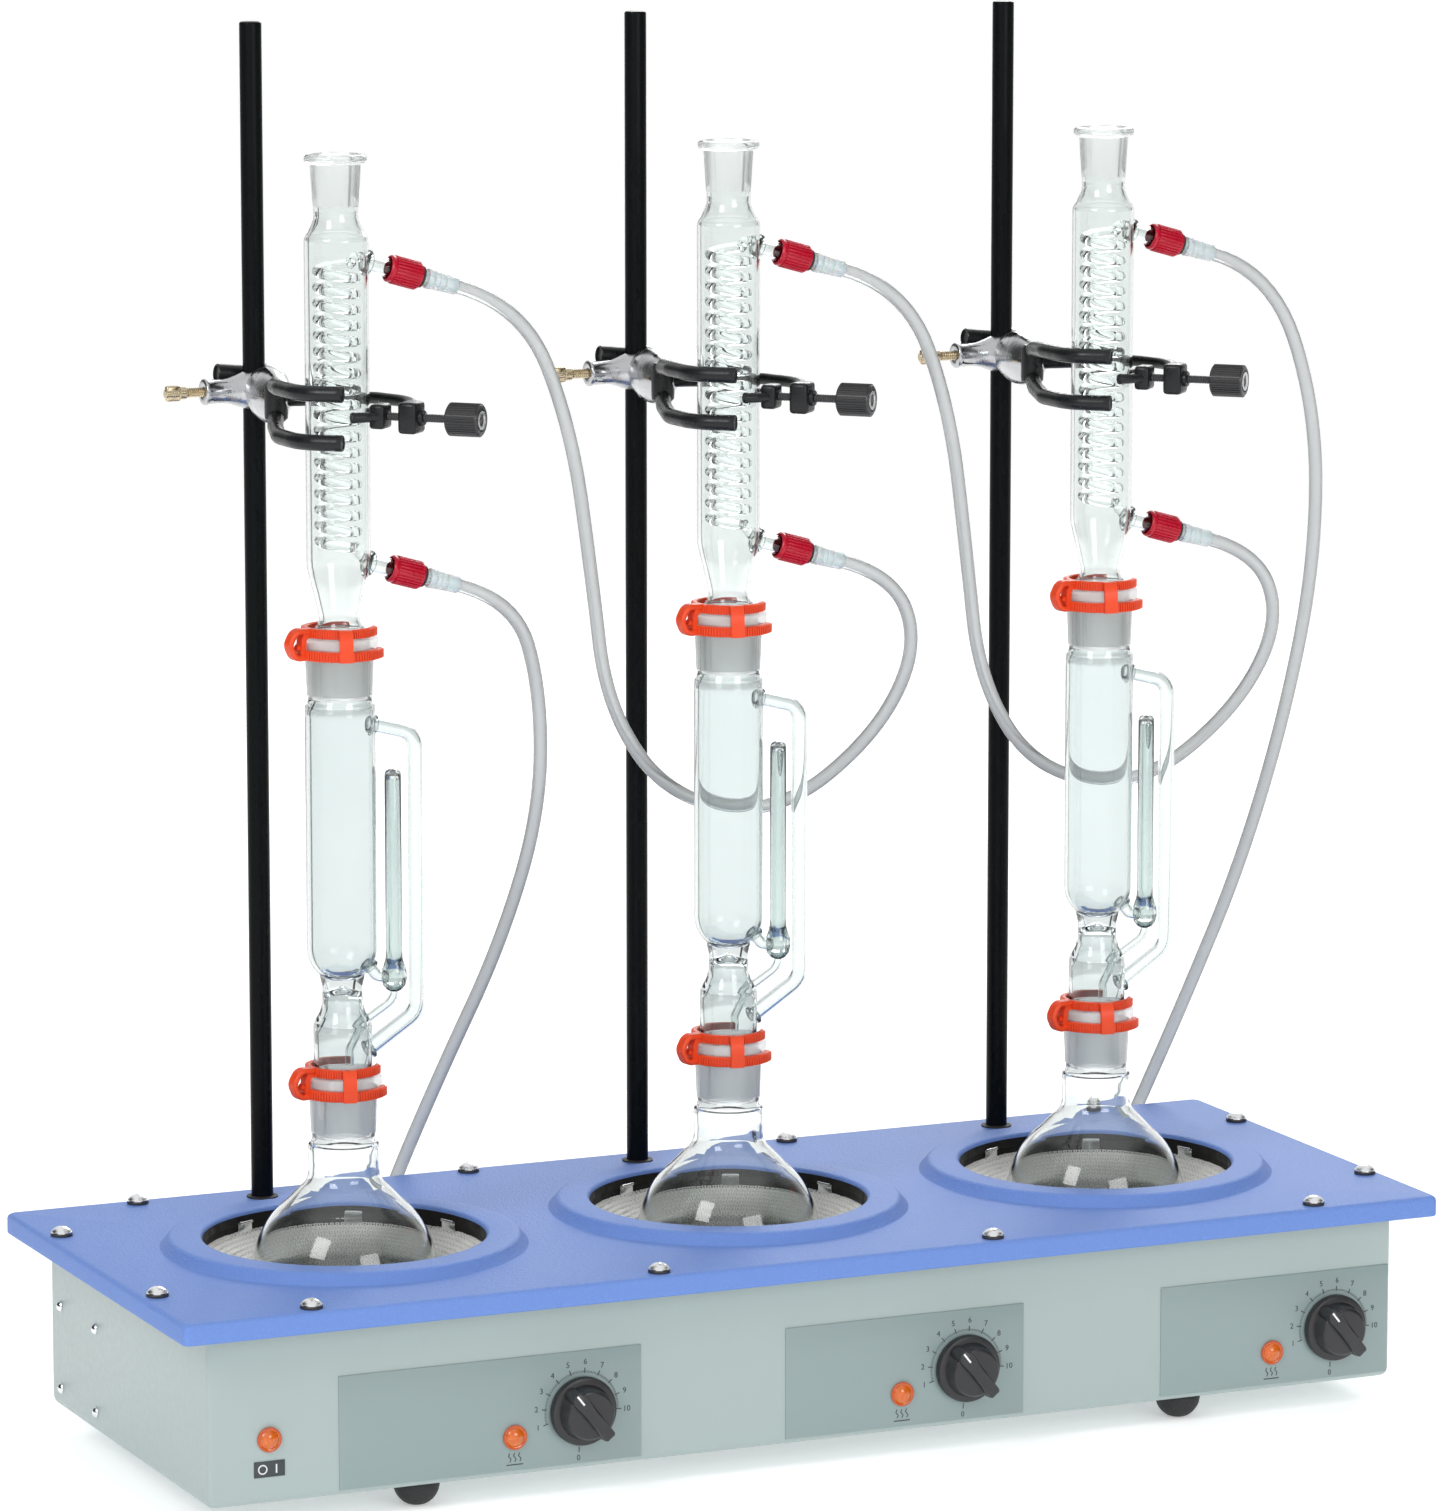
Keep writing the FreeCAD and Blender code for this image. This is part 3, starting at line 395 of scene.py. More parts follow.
def add_stack(shape, loops, ends=True):
    """Skins a row of loops that have the same number of points, and closes its two ends."""
    rows = [[shape.verts.new(point) for point in loop] for loop in loops]
    for lower, upper in zip(rows, rows[1:]):
        for i in range(len(lower)):
            j = (i + 1) % len(lower)
            shape.faces.new((lower[i], lower[j], upper[j], upper[i]))
    if ends:
        shape.faces.new(rows[0])
        shape.faces.new(rows[-1])


ROD_RADIUS = 6.35
ROD_PLACE = 127.6
ROD_FOOT, ROD_TOP = 64.0, 803.0

case_paint = painted("grey_green_enamel", (0.375, 0.456, 0.448), 0.42, Coat_Weight=0.2, Coat_Roughness=0.3)
orange_peel = grain(case_paint, 260, 0.10, 0.0004, detail=2)
varied(case_paint, orange_peel, "Roughness", 0.36, 0.5)

case = bmesh.new()
loops = []
for inset, height in [(5.0, CASE_FOOT), (2.2, CASE_FOOT + 0.7), (0.7, CASE_FOOT + 2.2),
                      (0.0, CASE_FOOT + 5.0)]:
    loops.append(sheet_path(CASE_HALF - Vector((inset, inset)), 3.0, height))
loops.append(sheet_path(CASE_HALF, 3.0, PLATE_UNDER - SHEET - 1.5))
loops.append(sheet_path(CASE_HALF + Vector((0.5, 0.5)), 3.2, PLATE_UNDER - SHEET - 0.4))
loops.append(sheet_path(CASE_HALF + Vector((1.5, 1.5)), 3.5, PLATE_UNDER - SHEET))
rim = CASE_HALF + Vector((FLANGE, FLANGE))
loops.append(sheet_path(rim - Vector((0.3, 0.3)), 4.0, PLATE_UNDER - SHEET))
loops.append(sheet_path(rim, 4.0, PLATE_UNDER - SHEET / 2))
loops.append(sheet_path(rim - Vector((0.3, 0.3)), 4.0, PLATE_UNDER - 0.05))
inner = CASE_HALF - Vector((SHEET, SHEET))
loops.append(sheet_path(inner, 2.0, PLATE_UNDER - 0.05))
loops.append(sheet_path(inner, 2.0, CASE_FOOT + SHEET))
add_stack(case, loops)
for axis in axes.values():
    add_turned(case, [(0, ROD_FOOT - 4.0), (8.8, ROD_FOOT - 4.0), (9.5, ROD_FOOT - 3.3),
                      (9.5, PLATE_UNDER - SHEET - 0.2)], at=(axis.x, ROD_PLACE, 0), steps=48, closed=False)
made("case_shell", case, case_paint, "base", ("case",))


# ---------------------------------------------------------------- top plate
# A pressed steel tray laminated with blue leather-grained vinyl, its edges turned down over the
# case. Each well is ringed by a raised lip that is rolled down into the hole.
PLATE_HALF = Vector((386, 150))
PLATE_TOP = 124.0
LIP_FOOT = 112.0
RING_OUTER = 104.0
RING_CREST = 130.5
WELL_STEPS = 128

vinyl = painted("blue_leather_vinyl", (0.19, 0.31, 0.70), 0.46, Specular_IOR_Level=0.22)
pebbles = grain(vinyl, 620, 0.55, 0.0006, "ShaderNodeTexVoronoi")
pebbles.feature = "SMOOTH_F1"
pebbles.inputs["Smoothness"].default_value = 0.5
varied(vinyl, pebbles, "Base Color", (0.205, 0.335, 0.745), (0.15, 0.265, 0.64), 0.25, 0.75)

plate = bmesh.new()
outer_loops = [sheet_path(PLATE_HALF - Vector((0.6, 0.6)), 3.4, LIP_FOOT),
               sheet_path(PLATE_HALF, 4.0, LIP_FOOT + 0.7), sheet_path(PLATE_HALF, 4.0, PLATE_TOP - 3.0)]
for angle in (22.5, 45, 67.5, 90):
    pull = 3.0 * (1 - math.cos(math.radians(angle)))
    outer_loops.append(sheet_path(PLATE_HALF - Vector((pull, pull)), 4.0,
                                  PLATE_TOP - 3.0 + 3.0 * math.sin(math.radians(angle))))
under = PLATE_HALF - Vector((2, 2))
inner_loops = [sheet_path(under, 2.0, PLATE_TOP - 2.0), sheet_path(under, 2.0, LIP_FOOT)]
add_stack(plate, [inner_loops[-1]] + outer_loops, ends=False)
add_stack(plate, inner_loops, ends=False)
for height in (PLATE_TOP, PLATE_TOP - 2.0):
    border = outer_loops[-1] if height == PLATE_TOP else inner_loops[0]
    edges = []
    for loop in [border] + [[axis + point for point in circle_points(RING_OUTER, height, WELL_STEPS)]
                            for axis in axes.values()]:
        verts = [plate.verts.new(point) for point in loop]
        edges += [plate.edges.new((a, b)) for a, b in zip(verts, verts[1:] + verts[:1])]
    bmesh.ops.triangle_fill(plate, use_beauty=True, edges=edges)
ring_outline = ([(RING_OUTER, PLATE_TOP), (RING_OUTER - 0.8, PLATE_TOP + 0.5)]
                + arc(96.5, RING_CREST - 4.0, 4.0, 40, 88, 6)
                + arc(82.5, RING_CREST - 2.4, 2.4, 92, 180, 6)
                + [(80.1, RING_CREST - 2.8), (80.0, PLATE_TOP - 1.0), (81.2, PLATE_TOP - 1.2),
                   (81.6, RING_CREST - 3.4)]
                + [(96, RING_CREST - 2.0), (RING_OUTER - 2.4, PLATE_TOP - 1.4),
                   (RING_OUTER, PLATE_TOP - 2.0)])


def inner_wall(start, end):
    """Picks the enamel for the wall of the opening, below the vinyl's edge."""
    return int(max(start[0], end[0]) < 80.2 and max(start[1], end[1]) < RING_CREST - 2.0)


for axis in axes.values():
    add_turned(plate, ring_outline, at=axis, steps=WELL_STEPS, closed=False, finish_of=inner_wall)
enamel = painted("black_enamel", (0.012, 0.011, 0.010), 0.5, Specular_IOR_Level=0.3)
varied(enamel, grain(enamel, 180, 0.2, 0.0005), "Roughness", 0.35, 0.65)
made("top_plate_tray", plate, [vinyl, enamel], "base", ("top_plate",), crease=28)


# ---------------------------------------------------------------- feet and screws
# Four moulded rubber feet, and plated screws: twelve with domed heads and dark washers that hold
# the top plate, and four small ones in the left end. Each head is turned once and set out.
def grown(name, mesh, build, values):
    """Runs a geometry tree on a mesh and returns the plain mesh that it grows."""
    tree = bpy.data.node_groups.new(name, "GeometryNodeTree")
    tree.interface.new_socket("Geometry", in_out="INPUT", socket_type="NodeSocketGeometry")
    tree.interface.new_socket("Geometry", in_out="OUTPUT", socket_type="NodeSocketGeometry")
    kinds = {bpy.types.Object: "NodeSocketObject", bpy.types.Material: "NodeSocketMaterial",
             int: "NodeSocketInt", float: "NodeSocketFloat"}
    sockets = {}
    for label, value in values.items():
        kind = next(socket for test, socket in kinds.items() if isinstance(value, test))
        sockets[label] = tree.interface.new_socket(label, in_out="INPUT", socket_type=kind)
    start = tree.nodes.new("NodeGroupInput")
    end = tree.nodes.new("NodeGroupOutput")
    build(tree, start, end)
    holder = placed(name + "_holder", mesh)
    modifier = holder.modifiers.new(name, "NODES")
    modifier.node_group = tree
    for label, value in values.items():
        modifier[sockets[label].identifier] = value
    bpy.context.view_layer.update()
    result = bpy.data.meshes.new_from_object(holder.evaluated_get(bpy.context.evaluated_depsgraph_get()))
    holder.modifiers.remove(modifier)
    bpy.data.objects.remove(holder)
    result.name = name
    return result


SIZE_SEED = 7


def set_out(tree, start, end):
    """Puts a copy of a piece at each point, turned by the point's own angles, its size a little varied."""
    nodes = tree.nodes
    source = nodes.new("GeometryNodeObjectInfo")
    source.inputs["As Instance"].default_value = True
    points = nodes.new("GeometryNodeMeshToPoints")
    turn = nodes.new("GeometryNodeInputNamedAttribute")
    turn.data_type = "FLOAT_VECTOR"
    turn.inputs["Name"].default_value = "turn"
    angles = nodes.new("FunctionNodeEulerToRotation")
    size = nodes.new("FunctionNodeRandomValue")
    size.inputs["Seed"].default_value = SIZE_SEED
    copies = nodes.new("GeometryNodeInstanceOnPoints")
    solid = nodes.new("GeometryNodeRealizeInstances")
    coat = nodes.new("GeometryNodeSetMaterial")
    for source_socket, target in (
            (start.outputs["Geometry"], points.inputs["Mesh"]),
            (start.outputs["Piece"], source.inputs["Object"]),
            (points.outputs["Points"], copies.inputs["Points"]),
            (source.outputs["Geometry"], copies.inputs["Instance"]),
            (turn.outputs["Attribute"], angles.inputs["Euler"]),
            (angles.outputs["Rotation"], copies.inputs["Rotation"]),
            (start.outputs["Smallest"], size.inputs[2]),
            (start.outputs["Largest"], size.inputs[3]),
            (size.outputs[1], copies.inputs["Scale"]),
            (copies.outputs["Instances"], solid.inputs["Geometry"]),
            (solid.outputs["Geometry"], coat.inputs["Geometry"]),
            (start.outputs["Finish"], coat.inputs["Material"]),
            (coat.outputs["Geometry"], end.inputs["Geometry"])):
        tree.links.new(source_socket, target)


def copies_of(name, shape, places, finish, body, nodes, turns=None, crease=35, sizes=(1.0, 1.0)):
    """One shape, drawn in millimetres about its own middle, set out at many places."""
    pattern = placed(name + "_pattern", drawn(name + "_pattern", shape))
    points = bpy.data.meshes.new(name + "_places")
    points.from_pydata([Vector(place) * MM for place in places], [], [])
    marks = points.attributes.new("turn", "FLOAT_VECTOR", "POINT")
    for mark, angle in zip(marks.data, turns or [(0, 0, 0)] * len(places)):
        mark.vector = angle
    mesh = grown(name, points, set_out, {"Piece": pattern, "Smallest": sizes[0], "Largest": sizes[1],
                                         "Finish": finish})
    bpy.data.objects.remove(pattern)
    settled(name, mesh, body, nodes, crease)


rubber = painted("foot_rubber", (0.018, 0.018, 0.019), 0.62)
varied(rubber, grain(rubber, 900, 0.3, 0.0003), "Roughness", 0.5, 0.75)
plated = painted("plated_steel", (0.78, 0.79, 0.80), 0.16, 1.0)
varied(plated, grain(plated, 140, 0.05, 0.0002), "Roughness", 0.10, 0.24)
washer_black = painted("dark_washer", (0.03, 0.03, 0.035), 0.5)
grain(washer_black, 600, 0.2, 0.0002)

foot = bmesh.new()
add_turned(foot, [(0, 0), (4.6, 0)] + arc(0, 12, 13, -62, -3, 10) + [(13, 13.0), (12.4, 14.0), (0, 14.0)],
           steps=40)
FOOT_PLACES = [(x * 237, y * 111, 0) for x in (-1, 1) for y in (-1, 1)]
copies_of("rubber_feet", foot, FOOT_PLACES, rubber, "base", ("feet",))

SCREW_PLACES = [(x * 103, y * 140, PLATE_TOP) for y in (-1, 1) for x in (-3, -1, 1, 3)]
SCREW_PLACES += [(x * 376, y * 80, PLATE_TOP) for x in (-1, 1) for y in (-1, 1)]
washer = bmesh.new()
add_turned(washer, [(0, 0.05), (6.2, 0.05), (6.3, 1.0), (5.7, 2.0), (0, 2.0)], steps=36)
copies_of("screw_washers", washer, SCREW_PLACES, washer_black, "base", ())
dome = bmesh.new()
add_turned(dome, [(0, 1.95), (6.1, 1.95), (6.0, 2.5)] + arc(0, -1.6, 7.2, 36, 84, 8)
           + [(0.6, 5.4), (0, 5.1)], steps=36)
copies_of("plate_screw_heads", dome, SCREW_PLACES, plated, "base", ("plate_screws",))

end_screw = bmesh.new()
add_turned(end_screw, [(0, 0.05), (3.15, 0.05), (3.1, 0.5)] + arc(0, -0.9, 3.4, 24, 84, 6) + [(0, 2.3)],
           steps=28)
END_PLACES = [(-366, y, z) for y in (53, 113) for z in (26.5, 74.7)]
copies_of("end_screw_heads", end_screw, END_PLACES, plated, "base", ("end_screws",),
          turns=[(0, -QUARTER, 0)] * 4)


# ---------------------------------------------------------------- control panels
# Thin printed aluminium plates on the case's front: a dial scale round each knob, a heater mark
# below each lamp and an on and off mark below the main lamp. The print stands a hair proud.
PANEL_FACE, PANEL_BACK, CASE_FRONT = -130.6, -129.98, -130.0
PANEL_SPANS = {1: (-290.0, -110.0), 2: (-21.5, 127.5), 3: (215.5, 364.0)}
PANEL_LOW, PANEL_HIGH = 17.5, 81.5
KNOB_OFFSET, KNOB_HEIGHT = 91.0, 47.8
LAMP_OFFSET, LAMP_HEIGHT = 50.8, 36.5
MAIN_LAMP = (-330.6, 50.5)
DIAL_ZERO, DIAL_ONE, DIAL_STEP = 266.0, 196.5, -22.3

panel_finish = painted("panel_satin", (0.262, 0.335, 0.335), 0.38, Coat_Weight=0.15)
varied(panel_finish, grain(panel_finish, 500, 0.05, 0.0002), "Roughness", 0.32, 0.44)
ink = painted("panel_ink", (0.045, 0.055, 0.06), 0.55)
grain(ink, 900, 0.1, 0.0001)

panels = bmesh.new()
for low, high in PANEL_SPANS.values():
    add_box(panels, (low, PANEL_FACE, PANEL_LOW), (high, PANEL_BACK, PANEL_HIGH), 0.25, 2)
made("printed_panels", panels, panel_finish, "base", ("control_panels",))


def dial_angle(mark):
    """Where a number stands on the dial, counted from the right."""
    return DIAL_ZERO if mark == 0 else DIAL_ONE + DIAL_STEP * (mark - 1)


def add_stroke(shape, start, end, width, face=PANEL_FACE):
    """A printed stroke between two points of the panel."""
    start, end = Vector((start[0], 0, start[1])), Vector((end[0], 0, end[1]))
    run = (end - start).normalized()
    side = Vector((-run.z, 0, run.x)) * width / 2
    corners = [start - side, end - side, end + side, start + side]
    depth = [face - 0.12, face + 0.05]
    add_stack(shape, [[corner + Vector((0, y, 0)) for corner in corners] for y in depth])


def add_word(shape, text, x, z, height):
    """Printed figures, centred on a point of the panel."""
    curve = bpy.data.curves.new("figures", "FONT")
    curve.body = text
    curve.size = height
    curve.extrude = 0.08
    curve.align_x = "CENTER"
    curve.align_y = "CENTER"
    curve.resolution_u = 3
    holder = bpy.data.objects.new("figures", curve)
    scene.collection.objects.link(holder)
    bpy.context.view_layer.update()
    letters = bpy.data.meshes.new_from_object(holder.evaluated_get(bpy.context.evaluated_depsgraph_get()))
    letters.transform(Matrix.Translation((x, PANEL_FACE - 0.05, z)) @ Matrix.Rotation(QUARTER, 4, "X"))
    shape.from_mesh(letters)
    bpy.data.objects.remove(holder)


prints = bmesh.new()
for axis in axes.values():
    x = axis.x + KNOB_OFFSET
    for mark in range(11):
        angle = math.radians(dial_angle(mark))
        ray = Vector((math.cos(angle), math.sin(angle)))
        centre = Vector((x, KNOB_HEIGHT))
        add_stroke(prints, centre + ray * 21.0, centre + ray * 24.0, 0.55)
        spot = centre + ray * 27.3
        add_word(prints, str(mark), spot.x, spot.y, 4.6)
    for tick in range(1, 91):
        angle = math.radians(DIAL_ONE + DIAL_STEP * tick / 10)
        ray = Vector((math.cos(angle), math.sin(angle)))
        add_stroke(prints, centre + ray * 21.2, centre + ray * 22.4, 0.22)
    lamp_x = axis.x + LAMP_OFFSET
    for step in range(3):
        rise = LAMP_HEIGHT - 14.0
        wave = [(lamp_x - 3 + step * 3, rise), (lamp_x - 2.2 + step * 3, rise + 1.6),
                (lamp_x - 3.8 + step * 3, rise + 3.4), (lamp_x - 3 + step * 3, rise + 5)]
        for start, end in zip(wave, wave[1:]):
            add_stroke(prints, start, end, 0.5)
    add_stroke(prints, (lamp_x - 5, LAMP_HEIGHT - 15.6), (lamp_x + 5, LAMP_HEIGHT - 15.6), 0.6)
made("panel_marks", prints, ink, "base", (), keep_normals=True)


# ---------------------------------------------------------------- pilot lamps
# Neon lamps behind orange domes, each in a darker moulded rim that is pushed into the front wall.
amber = painted("amber_lens", (0.95, 0.24, 0.02), 0.12, Coat_Weight=0.6, Subsurface_Weight=0.25,
                Transmission_Weight=0.15)
amber_glow = grain(amber, 220, 0.2, 0.0003, "ShaderNodeTexVoronoi")
varied(amber, amber_glow, "Base Color", (1.0, 0.40, 0.04), (0.88, 0.15, 0.01), 0.15, 0.6)
lens_rim = painted("lamp_rim", (0.55, 0.10, 0.03), 0.3)
grain(lens_rim, 400, 0.1, 0.0002)

lamp_places = [(axis.x + LAMP_OFFSET, PANEL_FACE, LAMP_HEIGHT) for axis in axes.values()]
lamp_places.append((MAIN_LAMP[0], CASE_FRONT, MAIN_LAMP[1]))
lamp_turns = [(QUARTER, 0, 0)] * 4
lens_shape = bmesh.new()
add_turned(lens_shape, [(0, 0.1), (5.9, 0.1), (5.9, 1.6)] + arc(0, -3.4, 7.2, 42, 86, 8) + [(0, 3.8)],
           steps=40)
copies_of("lamp_lenses", lens_shape, lamp_places, amber, "base", ("pilot_lamps",),
          turns=lamp_turns)
rim_shape = bmesh.new()
add_turned(rim_shape, [(5.9, 0.05), (6.9, 0.05), (7.0, 0.6)] + arc(6.4, 1.3, 0.6, 0, 180, 6) + [(5.85, 0.6)],
           steps=40)
copies_of("lamp_rims", rim_shape, lamp_places, lens_rim, "base", (), turns=lamp_turns)

LABEL_FACE = -130.5
main_label = bmesh.new()
add_box(main_label, (MAIN_LAMP[0] - 9, LABEL_FACE, MAIN_LAMP[1] - 21),
        (MAIN_LAMP[0] + 9, PANEL_BACK, MAIN_LAMP[1] - 12), 0.2, 2)
made("switch_label", main_label, ink, "base", ())
white_ink = painted("white_ink", (0.85, 0.86, 0.85), 0.5)
grain(white_ink, 900, 0.1, 0.0001)
label_marks = bmesh.new()
add_stroke(label_marks, (MAIN_LAMP[0] + 4, MAIN_LAMP[1] - 19), (MAIN_LAMP[0] + 4, MAIN_LAMP[1] - 14), 0.8,
           LABEL_FACE)
RING_PARTS, OFF_RADIUS = 20, 2.4
for part in range(RING_PARTS):
    ends = [(MAIN_LAMP[0] - 4 + OFF_RADIUS * math.cos(FULL * i / RING_PARTS),
             MAIN_LAMP[1] - 16.5 + OFF_RADIUS * math.sin(FULL * i / RING_PARTS)) for i in (part, part + 1.1)]
    add_stroke(label_marks, *ends, 0.7, LABEL_FACE)
made("switch_marks", label_marks, white_ink, "base", (), keep_normals=True)


# ---------------------------------------------------------------- control knobs
# Moulded black knobs pushed on the regulators' spindles: a skirt with a raised grip bar, blunt at
# the pointing end and square at the other, and a white line filled into the pointing end.
POINTER_REST = 128.5
KNOB_BASE = -131.2
moulded_black = painted("moulded_black", (0.016, 0.016, 0.018), 0.34, Coat_Weight=0.2, Coat_Roughness=0.25)
varied(moulded_black, grain(moulded_black, 700, 0.18, 0.0003), "Roughness", 0.28, 0.46)

for station, axis in axes.items():
    knob = bmesh.new()
    add_turned(knob, [(0, 0), (18.6, 0), (19.3, 0.5), (19.4, 3.6), (18.9, 4.6), (17.6, 5.0), (15.6, 5.2),
                      (15.0, 6.2), (14.2, 12.4)] + arc(12.0, 12.4, 2.2, 0, 90, 5) + [(0, 14.8)], steps=72)
    bar = []
    half, end = 4.6, 17.4
    outline = arc(end - half, 0, half, -80, 80, 8) + [(2.0, half * 0.92), (-end + 1.2, half * 0.8)]
    outline += [(-end, half * 0.6), (-end, -half * 0.6), (-end + 1.2, -half * 0.8), (2.0, -half * 0.92)]
    for height, shrink in ((4.8, 0.2), (9, 0), (15.8, -0.2), (17.2, -0.6), (17.8, -1.5)):
        loop = []
        for x, y in outline:
            reach = math.hypot(x, y)
            loop.append(Vector((x * (reach + shrink) / reach, y * (reach + shrink) / reach, height)))
        bar.append(loop)
    add_stack(knob, bar)
    place = (Matrix.Translation((axis.x + KNOB_OFFSET, KNOB_BASE, KNOB_HEIGHT))
             @ Matrix.Rotation(QUARTER, 4, "X") @ Matrix.Rotation(math.radians(POINTER_REST), 4, "Z"))
    bmesh.ops.transform(knob, matrix=place, verts=knob.verts)
    made(f"knob_body_{station}", knob, moulded_black, f"knob_{station}", (f"control_knob_{station}",))
    pointer = bmesh.new()
    add_box(pointer, (9.5, -0.55, 17.3), (16.2, 0.55, 17.98), 0.15, 2)
    bmesh.ops.transform(pointer, matrix=place, verts=pointer.verts)
    made(f"knob_pointer_{station}", pointer, white_ink, f"knob_{station}", ())


# ---------------------------------------------------------------- wells
# Black enamelled steel pots hang under the rings. Each holds a mantle of knitted glass-fibre yarn
# over the heating wire, and spring clips grip the pot's wall above the mantle's rim.
yarn = painted("glass_fibre_yarn", (0.86, 0.86, 0.83), 0.36, Metallic=0.25)
twist = grain(yarn, 1400, 0.5, 0.0005)
varied(yarn, twist, "Base Color", (0.80, 0.80, 0.77), (0.98, 0.98, 0.95))
wool = painted("mantle_wool", (0.62, 0.62, 0.60), 0.85)
grain(wool, 700, 0.6, 0.0006)
MANTLE_RIM = 118.0
BOWL_RADIUS = 53.2
BOWL_HEIGHT = 108.0

liners = bmesh.new()
mantles = bmesh.new()
for axis in axes.values():
    add_turned(liners, [(92.5, 127.3), (93, 127.9), (92.5, 128.3), (80.6, 128.3), (80.2, 127.5), (80.2, 36.4),
                        (78.6, 35.2), (0, 35.2), (0, 34.0), (79.4, 34.0), (81.3, 36.0), (81.4, 126.8)],
               at=axis, steps=96, closed=True)
    add_turned(mantles, [(0, BOWL_HEIGHT - BOWL_RADIUS)] + arc(0, BOWL_HEIGHT, BOWL_RADIUS, -86, -4, 22)
               + [(55.0, 106.6), (62, 109.4), (70, 113.4), (77.2, 117.2), (79.0, 118.0), (79.7, 116.8),
                  (79.7, 40), (70, 36), (0, 36)], at=axis, steps=96)
made("well_pots", liners, enamel, "base", ("well_liners",))
made("mantle_bowls", mantles, wool, "base", ("heating_mantles",))


def add_tube(shape, points, radius, steps=16, bore=0.0, finish=0):
    """A round bar along a row of points, or a pipe if it has a bore."""
    points = [Vector(point) for point in points]
    heading = (points[1] - points[0]).normalized()
    side = heading.orthogonal().normalized()
    rings = {radius: [], bore: []}
    for index, point in enumerate(points):
        before = points[max(index - 1, 0)]
        after = points[min(index + 1, len(points) - 1)]
        new_heading = (after - before).normalized()
        side = (heading.rotation_difference(new_heading) @ side).normalized()
        heading = new_heading
        other = heading.cross(side)
        for reach, rows in rings.items():
            if reach:
                rows.append([shape.verts.new(point + side * reach * math.cos(FULL * i / steps)
                                             + other * reach * math.sin(FULL * i / steps))
                             for i in range(steps)])
    outer, inner = rings[radius], rings[bore]
    loops = outer + inner[::-1] if bore else outer
    pairs = list(zip(loops, loops[1:]))
    if bore:
        pairs.append((loops[-1], loops[0]))
    for lower, upper in pairs:
        for i in range(steps):
            j = (i + 1) % steps
            shape.faces.new((lower[i], lower[j], upper[j], upper[i])).material_index = finish
    if not bore:
        shape.faces.new(outer[0][::-1]).material_index = finish
        shape.faces.new(outer[-1]).material_index = finish


loop_shape = bmesh.new()
LOOP_POINTS = [(-1.5, -1.9, 0.1), (-0.5, -0.4, 0.55), (-1.25, 1.0, 0.5), (0, 2.0, 0.15), (1.25, 1.0, 0.5),
               (0.5, -0.4, 0.55), (1.5, -1.9, 0.1)]
add_tube(loop_shape, LOOP_POINTS, 0.42, steps=4)
STITCH = 3.3
stitch_places, stitch_turns = [], []
for axis in axes.values():
    rows = [(BOWL_RADIUS * math.cos(math.radians(a)), BOWL_HEIGHT + BOWL_RADIUS * math.sin(math.radians(a)),
             math.radians(90 + a)) for a in range(-24, -1, 4)]
    rows += [(55 + step * 3.4, 106.8 + step * 1.6, math.radians(25)) for step in range(8)]
    for radius, height, lean in rows:
        count = int(FULL * radius / STITCH)
        stitch_places += [axis + point for point in circle_points(radius, height + 0.1, count)]
        for index in range(count):
            turn = Matrix.Rotation(FULL * index / count, 3, "Z") @ Matrix.Rotation(-lean, 3, "Y")
            stitch_turns.append((turn @ Matrix.Rotation(-QUARTER, 3, "Z")).to_euler())
copies_of("mantle_knitting", loop_shape, stitch_places, yarn, "base", (),
          turns=stitch_turns, crease=0, sizes=(0.86, 1.14))

clip_shape = bmesh.new()
add_box(clip_shape, (-0.7, -5.5, 0), (0.5, 5.5, 6.2), 0.35, 2)
add_tube(clip_shape, [(-1.0, -5.0, 6.0), (-1.0, 5.0, 6.0)], 0.9, steps=12)
CLIP_ANGLES = (20, 65, 115, 200, 245, 295)
CLIP_REACH = 79.0
clip_places, clip_turns = [], []
for axis in axes.values():
    for angle in map(math.radians, CLIP_ANGLES):
        clip_places.append(axis + Vector((CLIP_REACH * math.cos(angle), CLIP_REACH * math.sin(angle),
                                          MANTLE_RIM + 0.4)))
        clip_turns.append((0, 0, angle))
copies_of("pot_clips", clip_shape, clip_places, plated, "base", ("liner_clips",),
          turns=clip_turns)


# ---------------------------------------------------------------- upright rods
# Three steel rods in satin black, 12.7 mm, stand in sockets in the case's back wall. Their top ends
# are lightly domed.
rod_enamel = painted("black_rod_enamel", (0.0035, 0.0045, 0.005), 0.26, Specular_IOR_Level=0.08)
varied(rod_enamel, grain(rod_enamel, 220, 0.08, 0.0003, stretch=(1, 1, 0.3)), "Roughness", 0.22, 0.34)
rods = bmesh.new()
collars = bmesh.new()
for axis in axes.values():
    at = Vector((axis.x, ROD_PLACE, 0))
    add_turned(rods, [(0, ROD_FOOT), (ROD_RADIUS, ROD_FOOT), (ROD_RADIUS, ROD_TOP - 1.4)]
               + arc(ROD_RADIUS - 1.4, ROD_TOP - 1.4, 1.4, 0, 80, 6) + [(0, ROD_TOP - 0.02)], at=at,
               steps=48)
    add_turned(collars, [(6.5, PLATE_TOP + 0.05), (9.2, PLATE_TOP + 0.05), (9.0, PLATE_TOP + 0.8),
                         (6.9, PLATE_TOP + 1.3), (6.5, PLATE_TOP + 1.2)], at=at, steps=48)
made("rod_bars", rods, rod_enamel, "base", ("upright_rods",))
made("rod_grommets", collars, rubber, "base", ())


